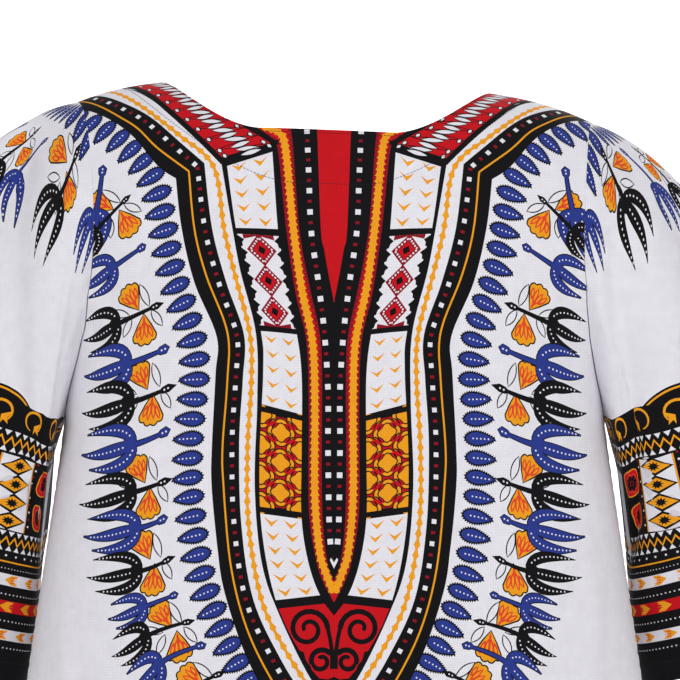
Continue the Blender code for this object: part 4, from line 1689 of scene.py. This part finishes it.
class DASHIKI_OT_facings(bpy.types.Operator):
    """Make the facings inside the neck"""

    bl_idname = "dashiki.facings"
    bl_label = "Neck facings"

    def execute(self, context):
        sizes = context.scene.dashiki_sizes
        for face in ("back", "front"):
            half = NECK + FACING_WIDTH - FACING_SHORT
            u = np.linspace(NECK_MIDDLE - half, NECK_MIDDLE + half, round(2 * half / FACING_STEP) + 1)
            u = np.unique(np.round([*u, *neck_marks(face)], 5))
            top = top_edge(face, u) + FACING_SET_BACK
            low = facing_edge(face, u)
            outline = np.concatenate([u + 1j * top, (u + 1j * low)[::-1]]) / MM

            def lay(flat, face=face):
                points, normals = on_panel(face, flat.real * MM, flat.imag * MM)
                return points - normals * (sizes.cloth + LAYER_GAP), normals

            piece = printed_wall(face + "_neck_facing", outline, Print(), lay, nowhere, sizes.facing,
                                 sizes.grid / MM, flip=face == "back")
            piece.data.materials.clear()
            for _ in range(2):
                piece.data.materials.append(facing_cotton())
            # A facing is a curved band.
            declare(piece, "facing_" + face)
        return {"FINISHED"}


def stitch_line(points, normals, sizes):
    """Corners and faces of stitches along a row of points: each a short low ridge of thread."""
    along = np.concatenate([[0.0], np.cumsum(np.linalg.norm(np.diff(points, axis=0), axis=1))])
    shares, radii, heights = (np.array(column) for column in zip(*STITCH_RINGS))
    radius, height = (column[:, None] * sizes.thread / 2 for column in (radii, heights))
    rings = len(shares)
    corners, faces = [], []
    start = 0.0
    while start + sizes.length < along[-1]:
        places = shares * sizes.length + start
        middle = np.stack([np.interp(places, along, points[:, axis]) for axis in range(3)], axis=1)
        out = np.stack([np.interp(places, along, normals[:, axis]) for axis in range(3)], axis=1)
        side = np.cross(middle[-1] - middle[0], out)
        side /= np.linalg.norm(side, axis=1, keepdims=True)
        first = len(corners)
        for angle in np.arange(STITCH_SIDES) * 2 * math.pi / STITCH_SIDES:
            up, aside = height + radius * math.sin(angle), radius * math.cos(angle)
            corners.extend(middle + out * up + side * aside)
        for corner in range(STITCH_SIDES):
            after = (corner + 1) % STITCH_SIDES
            for ring in range(rings - 1):
                a, b = first + corner * rings + ring, first + after * rings + ring
                faces.append((a, b, b + 1, a + 1))
        for end, order in ((0, -1), (rings - 1, 1)):
            faces.append(tuple(first + corner * rings + end for corner in range(STITCH_SIDES))[::order])
        start += sizes.length + sizes.gap
    return corners, faces


def rows_on_panel(face, hem):
    """Rows of stitches on a panel: along its facing, along the back's neck, and above the hem."""

    def row(middle, half, edge, down):
        u = np.linspace(middle - half, middle + half, ROW_PLACES)
        return on_panel(face, u, edge(face, u) + down)

    rows = [row(NECK_MIDDLE, NECK + FACING_WIDTH - FACING_ROW_ENDS, facing_edge, -FACING_ROW_IN)]
    if face == "back":
        rows.append(row(NECK_MIDDLE, NECK - NECK_ROW_ENDS, top_edge, NECK_ROW_IN))
    rows.append(row(0.0, float(panel_half(LENGTH)) - HEM_ROW_ENDS, hem_edge, -hem))
    return rows


def row_on_cuff(name, hem):
    """The row of stitches round a cuff."""
    sleeve = Sleeve(name)
    across = np.linspace(-CUFF_ROW_HALF, CUFF_ROW_HALF, CUFF_PLACES) * sleeve.widths[-1]
    return sleeve.on(sleeve.up(across, hem / MM))


class DASHIKI_OT_stitching(bpy.types.Operator):
    """Sew the facings, the hem and the cuffs"""

    bl_idname = "dashiki.stitching"
    bl_label = "Stitching"

    def execute(self, context):
        sizes = context.scene.dashiki_stitches
        rows = {face: rows_on_panel(face, sizes.hem) for face in ("back", "front")}
        for name in ("left", "right"):
            rows["sleeve_" + name] = [row_on_cuff(name, sizes.hem)]
        for part, lines in rows.items():
            corners, faces = [], []
            for points, normals in lines:
                more, more_faces = stitch_line(points, normals, sizes)
                faces += [tuple(len(corners) + place for place in face) for face in more_faces]
                corners += more
            mesh = bpy.data.meshes.new(part + "_stitches")
            mesh.from_pydata([tuple(corner) for corner in corners], [], faces)
            # near-black thread, partly painted shade of the groove along each row
            mesh.materials.append(thread_and_groove_shade_cotton())
            mesh.polygons.foreach_set("use_smooth", np.ones(len(faces), bool))
            mesh.update()
            piece = bpy.data.objects.new(part + "_stitches", mesh)
            bpy.context.scene.collection.objects.link(piece)
            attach(piece, "root")
        return {"FINISHED"}


def stage_square(name, corners, material):
    """A square sheet that belongs to the studio, not to the shirt."""
    mesh = bpy.data.meshes.new(name)
    mesh.from_pydata(corners, [], [(0, 1, 2, 3)])
    mesh.materials.append(material)
    square = bpy.data.objects.new(name, mesh)
    bpy.context.scene.collection.objects.link(square)


def square_corners(half):
    """The corners of a square round the origin."""
    return [(-half, -half), (half, -half), (half, half), (-half, half)]


class DASHIKI_OT_studio(bpy.types.Operator):
    """Set the pale floor, the soft lights and the camera"""

    bl_idname = "dashiki.studio"
    bl_label = "Studio"

    def execute(self, context):
        sizes = context.scene.dashiki_studio
        floor_z = CAD_BOX[0][2] - FLOOR_BELOW
        middle = (CAD_BOX[0][2] + CAD_BOX[1][2]) / 2
        floor = [(x, y, floor_z) for x, y in square_corners(FLOOR_HALF)]
        card = [(x, CARD_AWAY, middle + z) for x, z in square_corners(CARD_HALF)]
        stage_square("pale_floor", floor, backdrop_paper())
        stage_square("white_card", card, lit_card())

        world = bpy.data.worlds.new("studio")
        world.use_nodes = True
        sky = world.node_tree.nodes["Background"]
        sky.inputs["Color"].default_value = linear(WHITE)
        sky.inputs["Strength"].default_value = sizes.sky
        context.scene.world = world

        for name, place, share, size in SOFT_BOXES:
            light = bpy.data.lights.new(name + "_softbox", "AREA")
            light.energy = sizes.key * share
            light.size = size
            lamp = bpy.data.objects.new(name + "_softbox", light)
            lamp.location = place
            aim = Vector(LIGHT_TARGET) - Vector(place)
            lamp.rotation_euler = aim.to_track_quat("-Z", "Y").to_euler()
            context.scene.collection.objects.link(lamp)

        camera = bpy.data.cameras.new("camera")
        camera.lens = sizes.lens
        camera.sensor_width = SENSOR_WIDTH
        camera.clip_end = CAMERA_REACH
        viewer = bpy.data.objects.new("camera", camera)
        viewer.location = (CAMERA_ASIDE, -sizes.distance, sizes.height)
        viewer.rotation_euler = (math.pi / 2, 0.0, 0.0)
        context.scene.collection.objects.link(viewer)
        context.scene.camera = viewer
        context.scene.view_settings.view_transform = "Standard"
        return {"FINISHED"}


class DASHIKI_PT_sidebar(bpy.types.Panel):
    bl_label = "Dashiki shirt"
    bl_idname = "DASHIKI_PT_sidebar"
    bl_space_type = "VIEW_3D"
    bl_region_type = "UI"
    bl_category = "Dashiki"

    def draw(self, context):
        for place in GROUPS:
            group = getattr(context.scene, place)
            box = self.layout.box()
            for name in group.__annotations__:
                box.prop(group, name)
        for operator in OPERATORS:
            self.layout.operator(operator.bl_idname)


OPERATORS = (
    DASHIKI_OT_studio,
    DASHIKI_OT_panels,
    DASHIKI_OT_sleeves,
    DASHIKI_OT_facings,
    DASHIKI_OT_stitching,
)
GROUPS = {
    "dashiki_colours": ShirtColours,
    "dashiki_sizes": ShirtSizes,
    "dashiki_stitches": StitchSizes,
    "dashiki_studio": StudioSizes,
}
CLASSES = (*GROUPS.values(), *OPERATORS, DASHIKI_PT_sidebar)


def register():
    for each in CLASSES:
        bpy.utils.register_class(each)
    for place, group in GROUPS.items():
        setattr(bpy.types.Scene, place, PointerProperty(type=group))


def unregister():
    for place in GROUPS:
        delattr(bpy.types.Scene, place)
    for each in reversed(CLASSES):
        bpy.utils.unregister_class(each)


def main():
    register()
    bpy.ops.dashiki.studio()
    bpy.ops.dashiki.panels()
    bpy.ops.dashiki.sleeves()
    bpy.ops.dashiki.facings()
    bpy.ops.dashiki.stitching()


if __name__ == "__main__":
    main()
